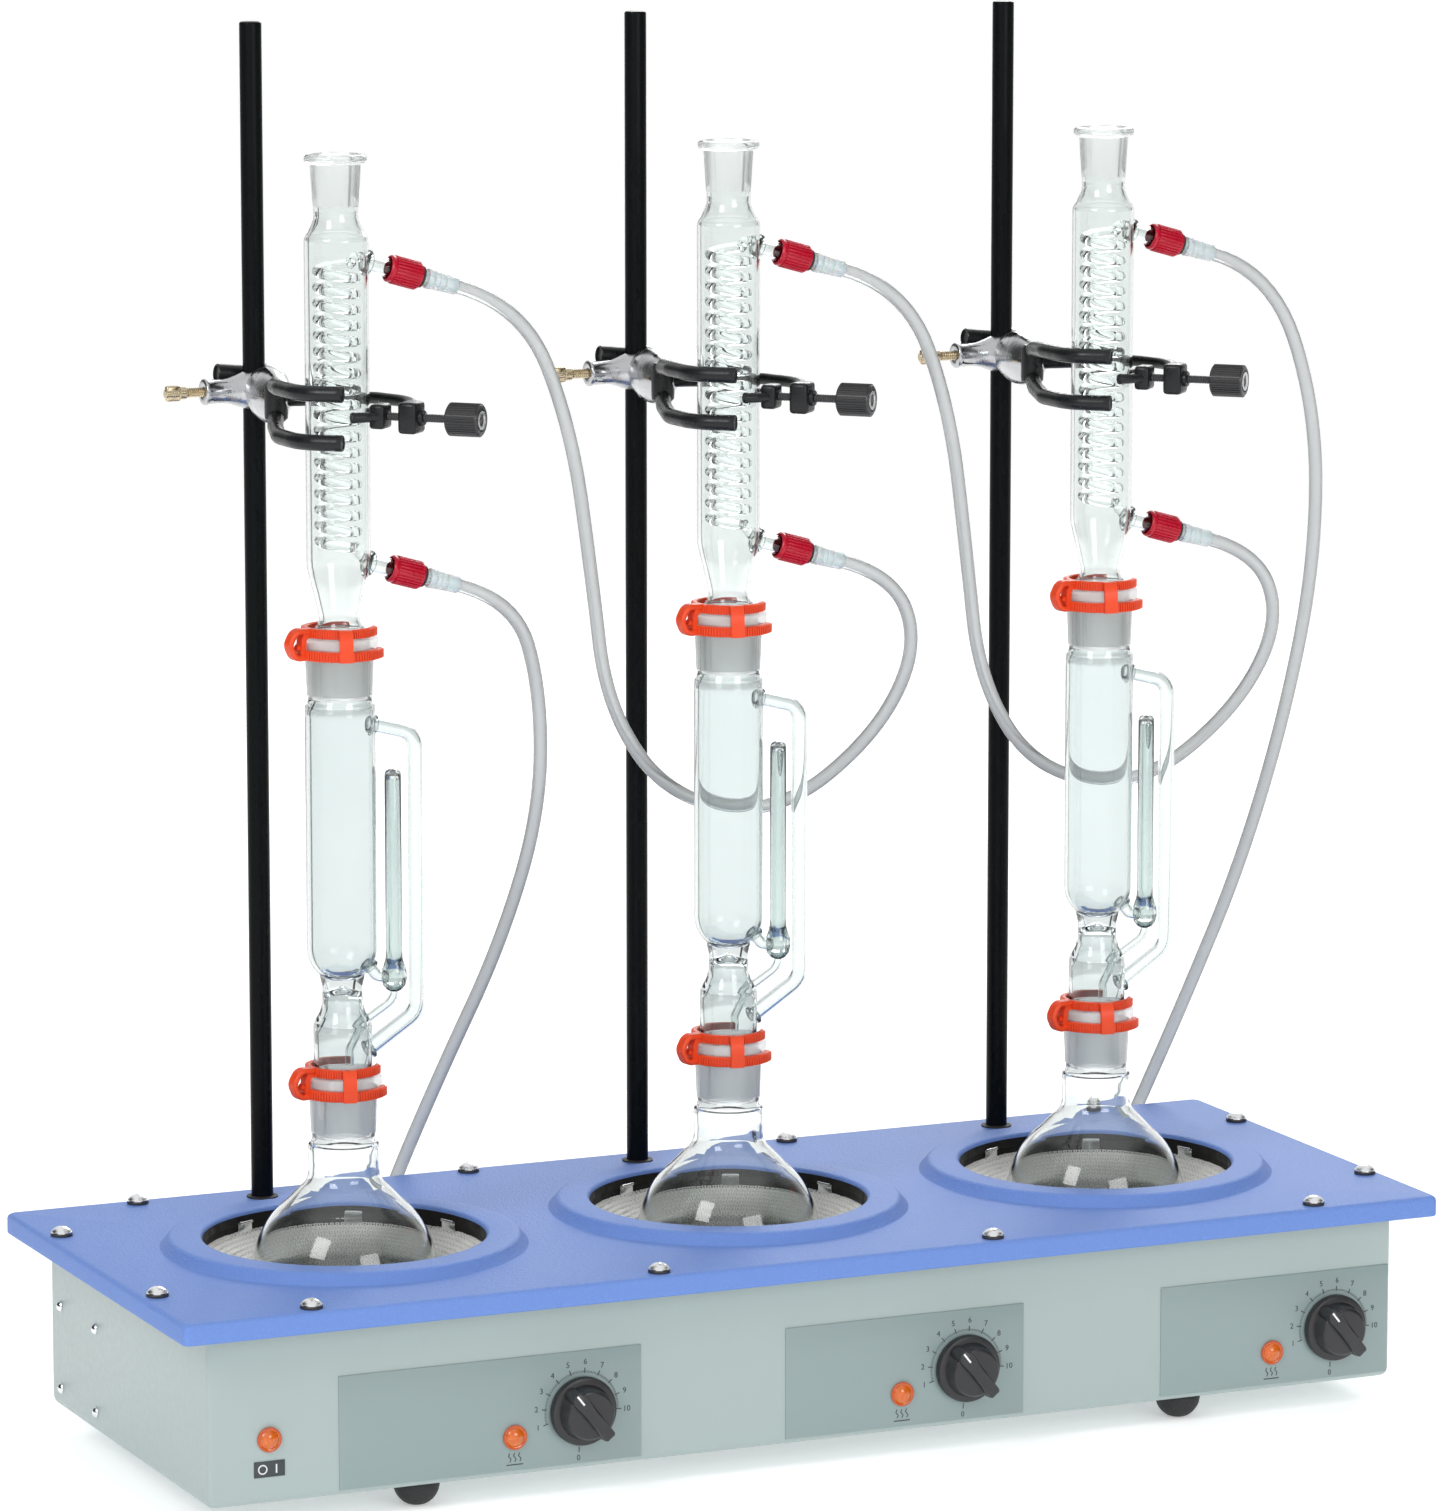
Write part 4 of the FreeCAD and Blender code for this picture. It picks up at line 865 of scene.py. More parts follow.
# ---------------------------------------------------------------- electrical parts
# Energy regulators sit behind the front wall under each knob, and a three-pin inlet for the mains
# lead is set in the back wall. Both are moulded in black plastic.
REGULATOR_PLACE, REGULATOR_HALF = -95.0, Vector((17.8, 14.8, 17.8))
electrics = bmesh.new()
for axis in axes.values():
    middle = Vector((axis.x + KNOB_OFFSET, REGULATOR_PLACE, KNOB_HEIGHT))
    add_box(electrics, middle - REGULATOR_HALF, middle + REGULATOR_HALF, 1.2, 3)
    for x in range(-14, 12, 8):
        add_box(electrics, middle + Vector((x, REGULATOR_HALF.y, -12)), middle + Vector((x + 5, 21, -11.2)),
                0.2, 1)
made("regulator_boxes", electrics, moulded_black, "base", ("energy_regulators",))

inlet = bmesh.new()
low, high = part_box("mains_inlet")
middle = (low + high) * 500
face_low, face_high = 130.05, 133.0


def inlet_loop(half_x, half_z, cut, y):
    """The inlet's outline, with its two upper corners cut off."""
    return [middle + Vector((x, y - middle.y, z)) for x, z in
            ((-half_x, -half_z), (half_x, -half_z), (half_x, half_z - cut), (half_x - cut, half_z),
             (-half_x + cut, half_z), (-half_x, half_z - cut))]


add_stack(inlet, [inlet_loop(17, 14, 2, face_low), inlet_loop(17, 14, 2, face_high - 0.6),
                  inlet_loop(16.4, 13.4, 2, face_high), inlet_loop(12.5, 8.6, 4, face_high),
                  inlet_loop(12.2, 8.3, 4, face_high - 0.6), inlet_loop(12.2, 8.3, 4, 116)])
made("mains_socket", inlet, moulded_black, "base", ("mains_inlet",))
pins = bmesh.new()
for x, z in ((0, 3.5), (-7, -2.5), (7, -2.5)):
    add_box(pins, middle + Vector((x - 1, 117 - middle.y, z - 2)),
            middle + Vector((x + 1, 130 - middle.y, z + 2)), 0.4, 2)
made("socket_pins", pins, plated, "base", ())


# ---------------------------------------------------------------- glassware
# Borosilicate glass, blown and joined by hand: walls of about 1.8 mm, tubes fused on with a small
# bead of glass, fire-polished rims, and ground cones and sockets that are frosted white.
WALL = 1.8
GLASS_STEPS = 72
LOW_JOINT, HIGH_JOINT = 221.7, 470.0


def clear_glass(name, tint, index=1.474):
    material = painted(name, tint, 0.0, Transmission_Weight=1.0, Ior=index)
    pattern = grain(material, 34, 0.03, 0.0006, stretch=(1, 1, 0.25), detail=1)
    varied(material, pattern, "Roughness", 0.0, 0.003)
    return material


glass = clear_glass("clear_glass", (0.75, 0.795, 0.79))
flask_glass = clear_glass("flask_glass", (0.93, 0.955, 0.95))
jacket_glass = clear_glass("jacket_glass", (0.88, 0.915, 0.905))
tube_glass = clear_glass("tube_glass", (0.84, 0.88, 0.872))
ground = painted("ground_glass", (0.95, 0.975, 0.97), 0.5, Transmission_Weight=0.35, Ior=1.47, Alpha=0.38)
varied(ground, grain(ground, 1500, 0.35, 0.0002), "Roughness", 0.45, 0.65)


def bent(points, radius, steps=7):
    """A row of points with its corners rounded, for glass tubes drawn and bent over a flame."""
    corners = [Vector(point) for point in points]
    path = [corners[0]]
    for before, corner, after in zip(corners, corners[1:], corners[2:]):
        back = (before - corner).normalized()
        ahead = (after - corner).normalized()
        half = back.angle(ahead) / 2
        reach = min(radius / math.tan(half), 0.49 * (before - corner).length,
                    0.49 * (after - corner).length)
        bow = reach * math.tan(half)
        middle = corner + (back + ahead).normalized() * (bow / math.sin(half))
        start, end = corner + back * reach - middle, corner + ahead * reach - middle
        sweep, axle = start.angle(end), start.cross(end).normalized()
        for step in range(steps + 1):
            path.append(middle + Matrix.Rotation(sweep * step / steps, 3, axle) @ start)
    path.append(corners[-1])
    return path


def socket_outline(top, neck):
    """Outside of a ground socket, from its foot up, with a rounded rim."""
    foot = top - 38.0
    return ([(neck, foot - 1), (17.6, foot + 3.0), (18.4, foot + 5.5), (19.4, top - 7.5), (19.8, top - 6.6)]
            + arc(20.4, top - 4.6, 1.4, -70, 0, 4) + arc(20.4, top - 1.4, 1.4, 0, 90, 5))


def bore_outline(top, inside):
    """Inside of a ground socket, from its rim down."""
    return [(17.9, top), (17.3, top - 0.7), (15.55, top - 35.0), (inside, top - 37.5)]


def male_outline(top):
    """Outside of a ground cone, from its drip tip up."""
    return [(15.0, top - 34.4), (15.35, top - 33.7), (17.05, top + 0.6), (16.8, top + 2.4)]


def frosted_between(*bands):
    """Picks the ground finish for faces whose heights lie in a ground zone."""
    def finish(start, end):
        middle = (start[1] + end[1]) / 2
        reach = (start[0] + end[0]) / 2
        return 1 if any(low < middle < high and near < reach < far for low, high, near, far in bands) else 0
    return finish


FLASK_RADIUS, FLASK_HEIGHT = 52.5, 108.0
flask_bands = frosted_between((186.5, 221.9, 14.5, 18.2), (214.0, 222.0, 18.5, 22.5))


def add_weld(shape, at, along, radius, bead=1.5):
    """The bead of glass where one tube is fused to another."""
    inside = [(radius - 0.6, bead * 0.6), (radius - 0.6, -bead * 0.6)]
    add_turned(shape, arc(radius + 0.1, 0, bead, -90, 90, 8) + inside, at=at, along=along, steps=40)


SHOULDER_ANGLE = 51.0
for station, axis in axes.items():
    flask = bmesh.new()
    throat = arc(32.0, 167.0, 12.0, 180 + SHOULDER_ANGLE + 2, 180, 10)
    outside = arc(0, FLASK_HEIGHT, FLASK_RADIUS, -90, SHOULDER_ANGLE, 40) + throat
    outside += [(20.1, 174.0), (20.4, 178.5), (19.8, 182.0)] + socket_outline(LOW_JOINT, 18.6)
    inside = bore_outline(LOW_JOINT, 16.6) + [(17.9, 181.0), (18.5, 178.0), (18.2, 172.0)]
    inside += [(r - WALL * 0.95, z - 0.6) for r, z in throat[::-1]]
    inside += arc(0, FLASK_HEIGHT, FLASK_RADIUS - WALL, SHOULDER_ANGLE - 1, -90, 40)
    outside[0] = (0, outside[0][1])
    inside[-1] = (0, inside[-1][1])
    add_turned(flask, outside + inside, steps=GLASS_STEPS, closed=False, finish_of=flask_bands)
    made(f"flask_bulb_{station}", flask, [flask_glass, ground], "base", (f"flask_{station}",),
         at=axis)

BARREL, BARREL_FLOOR, WAIST, LOWER_TUBE = 19.7, 274.0, 11.3, 16.5
VAPOUR_X, SIPHON_X = 44.5, 31.2
SIDE_TUBE, SIDE_BORE = 4.7, 3.4
extractor_bands = frosted_between((187.0, 222.6, 14.8, 17.4), (435.0, 470.2, 14.5, 18.2),
                                  (462.5, 470.3, 18.5, 22.5))

for station, axis in axes.items():
    extractor = bmesh.new()
    outside = male_outline(LOW_JOINT) + [(LOWER_TUBE, 227.0), (LOWER_TUBE, 247.0)]
    outside += arc(13.5, 250.0, 3.0, 0, 45, 4)
    outside += [(12.6, 258.0), (11.5, 263.0), (WAIST, 267.0), (WAIST, 272.0), (12.4, 276.6)]
    outside += arc(0, BARREL_FLOOR + BARREL, BARREL, -50, 0, 10) + [(BARREL, 429.0), (19.4, 431.0)]
    outside += socket_outline(HIGH_JOINT, 18.9)
    inside = bore_outline(HIGH_JOINT, 15.9) + [(17.7, 428.5), (BARREL - WALL, 425.0)]
    inside += arc(0, BARREL_FLOOR + BARREL, BARREL - WALL, 0, -90, 16)
    inside[-1] = (0, inside[-1][1])
    add_turned(extractor, outside + inside, steps=GLASS_STEPS, closed=False, finish_of=extractor_bands)
    lower_inside = [(0, 273.6)] + arc(0, 262.0, 9.6, 70, 10, 6)
    lower_inside += [(10.0, 258.0), (12.8, 251.0), (LOWER_TUBE - WALL, 246.0), (LOWER_TUBE - WALL, 224.0),
                     (13.2, 218.0), (12.8, 187.4), (15.0, 187.3)]
    add_turned(extractor, lower_inside, steps=GLASS_STEPS, closed=False, finish_of=extractor_bands)
    vapour_path = bent([(14.5, 0, 234.4), (VAPOUR_X, 0, 254), (VAPOUR_X, 0, 412.5), (17.8, 0, 419.5)], 11)
    add_tube(extractor, vapour_path, SIDE_TUBE, 28, bore=SIDE_BORE, finish=2)
    add_weld(extractor, vapour_path[0] + Vector((1.4, 0, 0.9)), vapour_path[1] - vapour_path[0], SIDE_TUBE)
    add_weld(extractor, vapour_path[-1] + Vector((1.6, 0, -1.0)), vapour_path[-2] - vapour_path[-1],
             SIDE_TUBE)
    siphon_path = bent([(15.2, 0, 283.0), (20.5, 0, 276.2), (27.0, 0, 275.0)], 5)
    add_tube(extractor, siphon_path, 3.6, 28, bore=2.5, finish=2)
    add_weld(extractor, siphon_path[0] + Vector((1.4, 0, -1.2)), siphon_path[1] - siphon_path[0], 3.7, 1.3)
    sleeve = [(2.7, 266.6), (4.6, 267.6), (6.5, 270.4), (7.3, 274.4), (6.9, 278.8), (5.5, 282.8),
              (4.8, 286.0), (4.7, 290.0), (4.7, 389.4), (4.4, 391.0), (3.6, 392.1), (2.2, 392.8),
              (0, 393.0)]
    sleeve_inside = [(2.7, 268.3), (3.8, 268.9), (5.4, 271.2), (6.1, 274.4), (5.7, 278.4), (4.3, 282.2),
                     (3.6, 285.8), (3.5, 290.0), (3.4, 387.8), (2.8, 389.4), (0, 389.9)]
    for outline in (sleeve_inside, sleeve):
        add_turned(extractor, outline, at=(SIPHON_X, 0, 0), steps=36, closed=False, finish=2)
    fall_path = bent([(SIPHON_X, 0, 387), (SIPHON_X, 0, 262), (10.0, 0, 249), (4.0, 0, 236),
                      (4.0, 0, 226)], 9)
    add_tube(extractor, fall_path, 2.4, 24, bore=1.5, finish=2)
    made(f"extractor_glass_{station}", extractor, [glass, ground, tube_glass], "base",
         (f"extractor_{station}",), at=axis)

JACKET = 17.9
CONDENSER_TOP = 738.0
PORT_TUBE, PORT_BORE = 5.5, 3.6
condenser_bands = frosted_between((435.5, 471.0, 14.8, 17.4), (707.0, 738.2, 10.6, 12.9))

for station, axis in axes.items():
    condenser = bmesh.new()
    outside = male_outline(HIGH_JOINT) + [(15.2, 473.6), (12.2, 476.6), (11.5, 479.0), (11.9, 483.0)]
    outside += [(14.8, 496.0), (17.0, 505.0), (17.75, 509.0), (JACKET, 513.0), (JACKET, 690.0)]
    outside += arc(JACKET - 5.0, 690.0, 5.0, 0, 55, 6)
    outside += [(13.6, 699.2), (12.5, 702.0), (12.4, 705.0), (14.2, 731.4)]
    outside += arc(14.9, 735.2, 2.6, -100, 80, 12)
    inside = [(12.6, CONDENSER_TOP - 0.1), (12.0, CONDENSER_TOP - 1.2), (10.7, 709.0), (10.5, 703.0)]
    inside += [(11.6, 698.6)] + arc(JACKET - 5.2, 690.0, 3.6, 50, 0, 5)
    inside += [(JACKET - WALL, 513.0), (15.9, 508.5), (12.9, 496.0), (9.9, 483.0), (9.5, 479.0),
               (10.4, 476.4), (13.2, 472.4), (13.4, 468.0), (12.9, 435.8), (15.0, 435.7)]
    add_turned(condenser, outside + inside, steps=GLASS_STEPS, closed=True, finish_of=condenser_bands)
    for height in PORT_HEIGHTS.values():
        arm = [Vector((0, 0, height)) + PORT_LINE * reach for reach in (17.6, 22, 26, 30, 40, 45.8)]
        add_tube(condenser, arm, PORT_TUBE, 32, bore=PORT_BORE)
        add_weld(condenser, Vector((0, 0, height)) + PORT_LINE * 19.2, PORT_LINE, PORT_TUBE, 1.7)
    made(f"condenser_glass_{station}", condenser, [jacket_glass, ground], "base", (f"condenser_{station}",),
         at=axis)

# The cooling coil is one glass tube: it comes in from the lower arm, climbs in a close helix and
# leaves by the upper arm. It is wound round a mandrel and sealed into the jacket.
COIL_RADIUS, COIL_TUBE, COIL_PITCH = 10.4, 3.0, 8.8
COIL_LOW, COIL_HIGH = 519.0, 677.0
coil_glass = clear_glass("coil_glass", (0.95, 0.965, 0.96), index=1.22)


def wind(tree, start, end):
    """A spiral tube with a round section, from its own sizes."""
    nodes = tree.nodes
    spiral = nodes.new("GeometryNodeCurveSpiral")
    spiral.inputs["Resolution"].default_value = 36
    circle = nodes.new("GeometryNodeCurvePrimitiveCircle")
    circle.inputs["Resolution"].default_value = 14
    tube = nodes.new("GeometryNodeCurveToMesh")
    tube.inputs["Fill Caps"].default_value = True
    solid = nodes.new("GeometryNodeRealizeInstances")
    coat = nodes.new("GeometryNodeSetMaterial")
    for source_socket, target in (
            (start.outputs["Turns"], spiral.inputs["Rotations"]),
            (start.outputs["Winding radius"], spiral.inputs["Start Radius"]),
            (start.outputs["Winding radius"], spiral.inputs["End Radius"]),
            (start.outputs["Height"], spiral.inputs["Height"]),
            (start.outputs["Tube radius"], circle.inputs["Radius"]),
            (spiral.outputs["Curve"], tube.inputs["Curve"]),
            (circle.outputs["Curve"], tube.inputs["Profile Curve"]),
            (tube.outputs["Mesh"], solid.inputs["Geometry"]),
            (solid.outputs["Geometry"], coat.inputs["Geometry"]),
            (start.outputs["Finish"], coat.inputs["Material"]),
            (coat.outputs["Geometry"], end.inputs["Geometry"])):
        tree.links.new(source_socket, target)


winding = grown("winding", bpy.data.meshes.new("winding_start"), wind, {
    "Turns": (COIL_HIGH - COIL_LOW) / COIL_PITCH, "Winding radius": COIL_RADIUS / 1000,
    "Height": (COIL_HIGH - COIL_LOW) / 1000, "Tube radius": COIL_TUBE / 1000, "Finish": coil_glass})
coils = bmesh.new()
for axis in axes.values():
    one = winding.copy()
    one.transform(Matrix.Scale(1000, 4))
    one.transform(Matrix.Translation(axis + Vector((0, 0, COIL_LOW))))
    coils.from_mesh(one)
    last = (COIL_HIGH - COIL_LOW) / COIL_PITCH * FULL
    leave = Vector((COIL_RADIUS * math.cos(last), -COIL_RADIUS * math.sin(last), COIL_HIGH))
    rise = [leave, leave + Vector((2, 3, 2.5)), Vector((12, 0, 681)), Vector((16, 0, 680.5))]
    add_tube(coils, [axis + point for point in bent(rise, 5)], COIL_TUBE * 0.95, 14)
    fall = [Vector((COIL_RADIUS, 0, COIL_LOW)), Vector((COIL_RADIUS + 2.2, 1.5, COIL_LOW - 3)),
            Vector((16, 0, 511.2))]
    add_tube(coils, [axis + point for point in bent(fall, 4)], COIL_TUBE * 0.95, 14)
made("cooling_coils", coils, coil_glass, "base", ("condenser_coils",))


# ---------------------------------------------------------------- joint clips
# Springy acetal clips in orange-red. A wide open ring grips under the socket's rim, a narrow one
# over the cone, and a tab and a finger loop join them. Their outsides are ribbed for grip.
CLIP_OPENING = (-24.0, 49.0)
clip_plastic = painted("orange_acetal", (0.78, 0.062, 0.014), 0.36, Subsurface_Weight=0.08,
                       Specular_IOR_Level=0.3)
varied(clip_plastic, grain(clip_plastic, 420, 0.12, 0.0002), "Roughness", 0.28, 0.42)


def add_open_ring(shape, outer, inner, low, high, start, end, steps=72, edge=0.6):
    """A ring with a gap in it, its section lightly rounded and its ends blunt."""
    section = [(inner, low + edge), (inner + edge, low), (outer - edge, low), (outer, low + edge),
               (outer, high - edge), (outer - edge, high), (inner + edge, high), (inner, high - edge)]
    loops = []
    for step in range(steps + 1):
        share = step / steps
        angle = math.radians(start + (end - start) * share)
        pinch = 1 - 0.35 * max(0.0, abs(share - 0.5) * 2 - 0.96) / 0.04
        middle = (outer + inner) / 2
        loops.append([Vector(((middle + (r - middle) * pinch) * math.cos(angle),
                              (middle + (r - middle) * pinch) * math.sin(angle), z)) for r, z in section])
    add_stack(shape, loops)


def joint_clip(top):
    shape = bmesh.new()
    start, end = CLIP_OPENING[1], CLIP_OPENING[0] + 360
    wide_low, wide_high = top - 11.7, top - 6.1
    narrow_low, narrow_high = top + 0.7, top + 6.0
    add_open_ring(shape, 24.2, 20.2, wide_low, wide_high, start, end)
    add_open_ring(shape, 20.7, 17.7, narrow_low, narrow_high, start, end)
    for angle in range(int(start) + 4, int(end) - 3, 4):
        way = Vector((math.cos(math.radians(angle)), math.sin(math.radians(angle)), 0))
        turn = Matrix.Rotation(math.radians(angle), 3, "Z")
        for reach, low, high in ((24.35, wide_low, wide_high), (20.8, narrow_low, narrow_high)):
            if abs((angle - 258 + 180) % 360 - 180) > 12 and abs((angle - 190 + 180) % 360 - 180) > 11:
                spot = way * reach + Vector((0, 0, (low + high) / 2))
                add_box(shape, spot - Vector((0.6, 0.45, (high - low) / 2 - 0.4)),
                        spot + Vector((0.6, 0.45, (high - low) / 2 - 0.4)), 0.15, 1, turn)
    tab = [(20.0, narrow_low), (21.9, narrow_low), (22.9, top - 0.6), (23.2, wide_high), (23.4, wide_low),
           (26.1, wide_low), (26.3, wide_high), (25.9, top), (24.0, narrow_high - 1.2), (22.6, narrow_high),
           (20.0, narrow_high)]
    for angle, half in ((258, 3.8), (190, 3.0)):
        side = Matrix.Rotation(math.radians(angle), 4, "Z")
        loops = [[side @ Vector((r, y, z)) for r, z in tab] for y in (-half, -half + 0.5, half - 0.5, half)]
        add_stack(shape, loops)
    side = Matrix.Rotation(math.radians(190), 4, "Z")
    finger = bent([(20.5, 0, narrow_high - 1.8), (29.0, 0, narrow_high - 1.2), (33.2, 0, top - 2.6),
                   (29.6, 0, wide_low + 1.2), (22, 0, wide_low + 1.8)], 5)
    for shift in (-2.2, -0.8, 0.7, 2.1):
        add_tube(shape, [side @ (point + Vector((0, shift, 0))) for point in finger], 1.7, 12)
    add_tube(shape, [side @ Vector((24.5, 0, top - 5.4)), side @ Vector((28.2, 0, top - 4.0))], 1.9, 12)
    return shape


for station, axis in axes.items():
    for level, top in (("lower", LOW_JOINT), ("upper", HIGH_JOINT)):
        body = {"lower": "low", "upper": "high"}[level]
        made(f"{level}_joint_clip_{station}", joint_clip(top), clip_plastic, f"{body}_clip_{station}",
             (f"{level}_clip_{station}",), at=axis, crease=40)


# ---------------------------------------------------------------- hose caps and connectors
# Crimson screw caps with long flutes hold a silicone seal against the end of each hose arm. The
# connector is moulded in milky polypropylene, with a flange and a long nozzle for the tubing.
CAP_START, CAP_END, CAP_FLUTES = 31.6, 51.4, 26
crimson = painted("crimson_plastic", (0.47, 0.006, 0.026), 0.28, Specular_IOR_Level=0.35)
varied(crimson, grain(crimson, 500, 0.1, 0.0002), "Roughness", 0.22, 0.36)
milky = painted("milky_polypropylene", (0.80, 0.83, 0.83), 0.3, Subsurface_Weight=0.3,
                Transmission_Weight=0.35)
varied(milky, grain(milky, 300, 0.1, 0.0002), "Roughness", 0.24, 0.4)
seal_black = painted("seal_black", (0.02, 0.02, 0.022), 0.5)
grain(seal_black, 800, 0.2, 0.0002)

connectors, seals = bmesh.new(), bmesh.new()
for station, axis in axes.items():
    for level, height in PORT_HEIGHTS.items():
        root = axis + Vector((0, 0, height))
        cap = bmesh.new()
        outline = [(6.2, CAP_START), (6.9, CAP_START), (7.6, CAP_START + 0.7), (7.7, CAP_START + 2.2),
                   (7.35, CAP_START + 2.8), (7.35, CAP_END - 2.2), (7.0, CAP_END - 0.5), (6.2, CAP_END),
                   (4.4, CAP_END), (4.2, CAP_END - 0.6), (4.2, 47.6), (6.2, 47.2)]
        add_turned(cap, outline, at=root, along=PORT_LINE, steps=48)
        quarter = Vector((0, 0, 1)).rotation_difference(PORT_LINE).to_matrix()
        for flute in range(CAP_FLUTES):
            angle = FULL * flute / CAP_FLUTES
            way = quarter @ Vector((math.cos(angle), math.sin(angle), 0))
            turn = quarter @ Matrix.Rotation(angle, 3, "Z")
            spot = root + PORT_LINE * ((CAP_START + CAP_END) / 2 + 0.6) + way * 7.5
            add_box(cap, spot - Vector((0.62, 0.55, 7.6)), spot + Vector((0.62, 0.55, 7.6)), 0.4, 2, turn)
        body = {"lower": "low", "upper": "high"}[level]
        made(f"{level}_hose_cap_{station}", cap, crimson, f"{body}_cap_{station}",
             (f"{level}_cap_{station}",))
        nozzle = [(2.4, 46.5), (3.8, 46.5), (3.9, 55.4), (5.4, 55.5), (5.7, 56.0), (5.7, 58.6), (5.4, 59.1),
                  (5.0, 59.5), (5.3, 60.2), (5.35, 62.0), (4.95, 62.6), (5.25, 63.4), (5.2, 66.0),
                  (4.85, 66.6), (5.1, 67.4), (4.95, 73.4), (4.6, 74.0), (2.4, 74.0)]
        add_turned(connectors, nozzle, at=root, along=PORT_LINE, steps=40)
        bulge = arc(5.5, CAP_END + 0.95, 0.65, -60, 60, 4)
        add_turned(seals, [(4.1, CAP_END + 0.1), (5.9, CAP_END + 0.1)] + bulge + [(4.1, CAP_END + 1.8)],
                   at=root, along=PORT_LINE, steps=40)
made("hose_nozzles", connectors, milky, "base", ("hose_connectors",))
made("hose_seals", seals, seal_black, "base", ())


# ---------------------------------------------------------------- clamps
# A three-pronged clamp holds each condenser: a polished cast aluminium boss slides on the rod and
# is locked by a brass screw, and a steel fork dipped in black vinyl runs round the jacket.
CLAMP_HEIGHT = 594.0
ROD_OFFSET = 131.6
GRIP_LINE = Vector((0.7071, -0.7071, 0))
GRIP_SIDE = Vector((0.7071, 0.7071, 0))
GRIP_TURN = Matrix.Rotation(math.radians(-45), 3, "Z")
CLAMP = Vector((0, 0, CLAMP_HEIGHT))
ROD_POINT = Vector((0, ROD_OFFSET, CLAMP_HEIGHT))

# Painted reflection: the casting's colour is set darker than polished aluminium is, standing in for the dark
# reflections along its top and bottom.
casting = painted("polished_casting", (0.50, 0.51, 0.52), 0.2, 1.0)
varied(casting, grain(casting, 150, 0.30, 0.0012), "Roughness", 0.12, 0.34)
brass = painted("turned_brass", (0.60, 0.50, 0.34), 0.24, 1.0)
varied(brass, grain(brass, 500, 0.06, 0.0002), "Roughness", 0.18, 0.36)
vinyl_dip = painted("black_vinyl_dip", (0.010, 0.011, 0.012), 0.3, Specular_IOR_Level=0.3)
varied(vinyl_dip, grain(vinyl_dip, 240, 0.15, 0.0004), "Roughness", 0.22, 0.4)
screw_steel = painted("screw_steel", (0.62, 0.62, 0.63), 0.26, 1.0)
grain(screw_steel, 500, 0.08, 0.0002)


def beside(distance, aside=0.0, rise=0.0):
    """A point at a distance along the adjusting screw, aside of it and above it."""
    return CLAMP + GRIP_LINE * distance + GRIP_SIDE * aside + Vector((0, 0, rise))


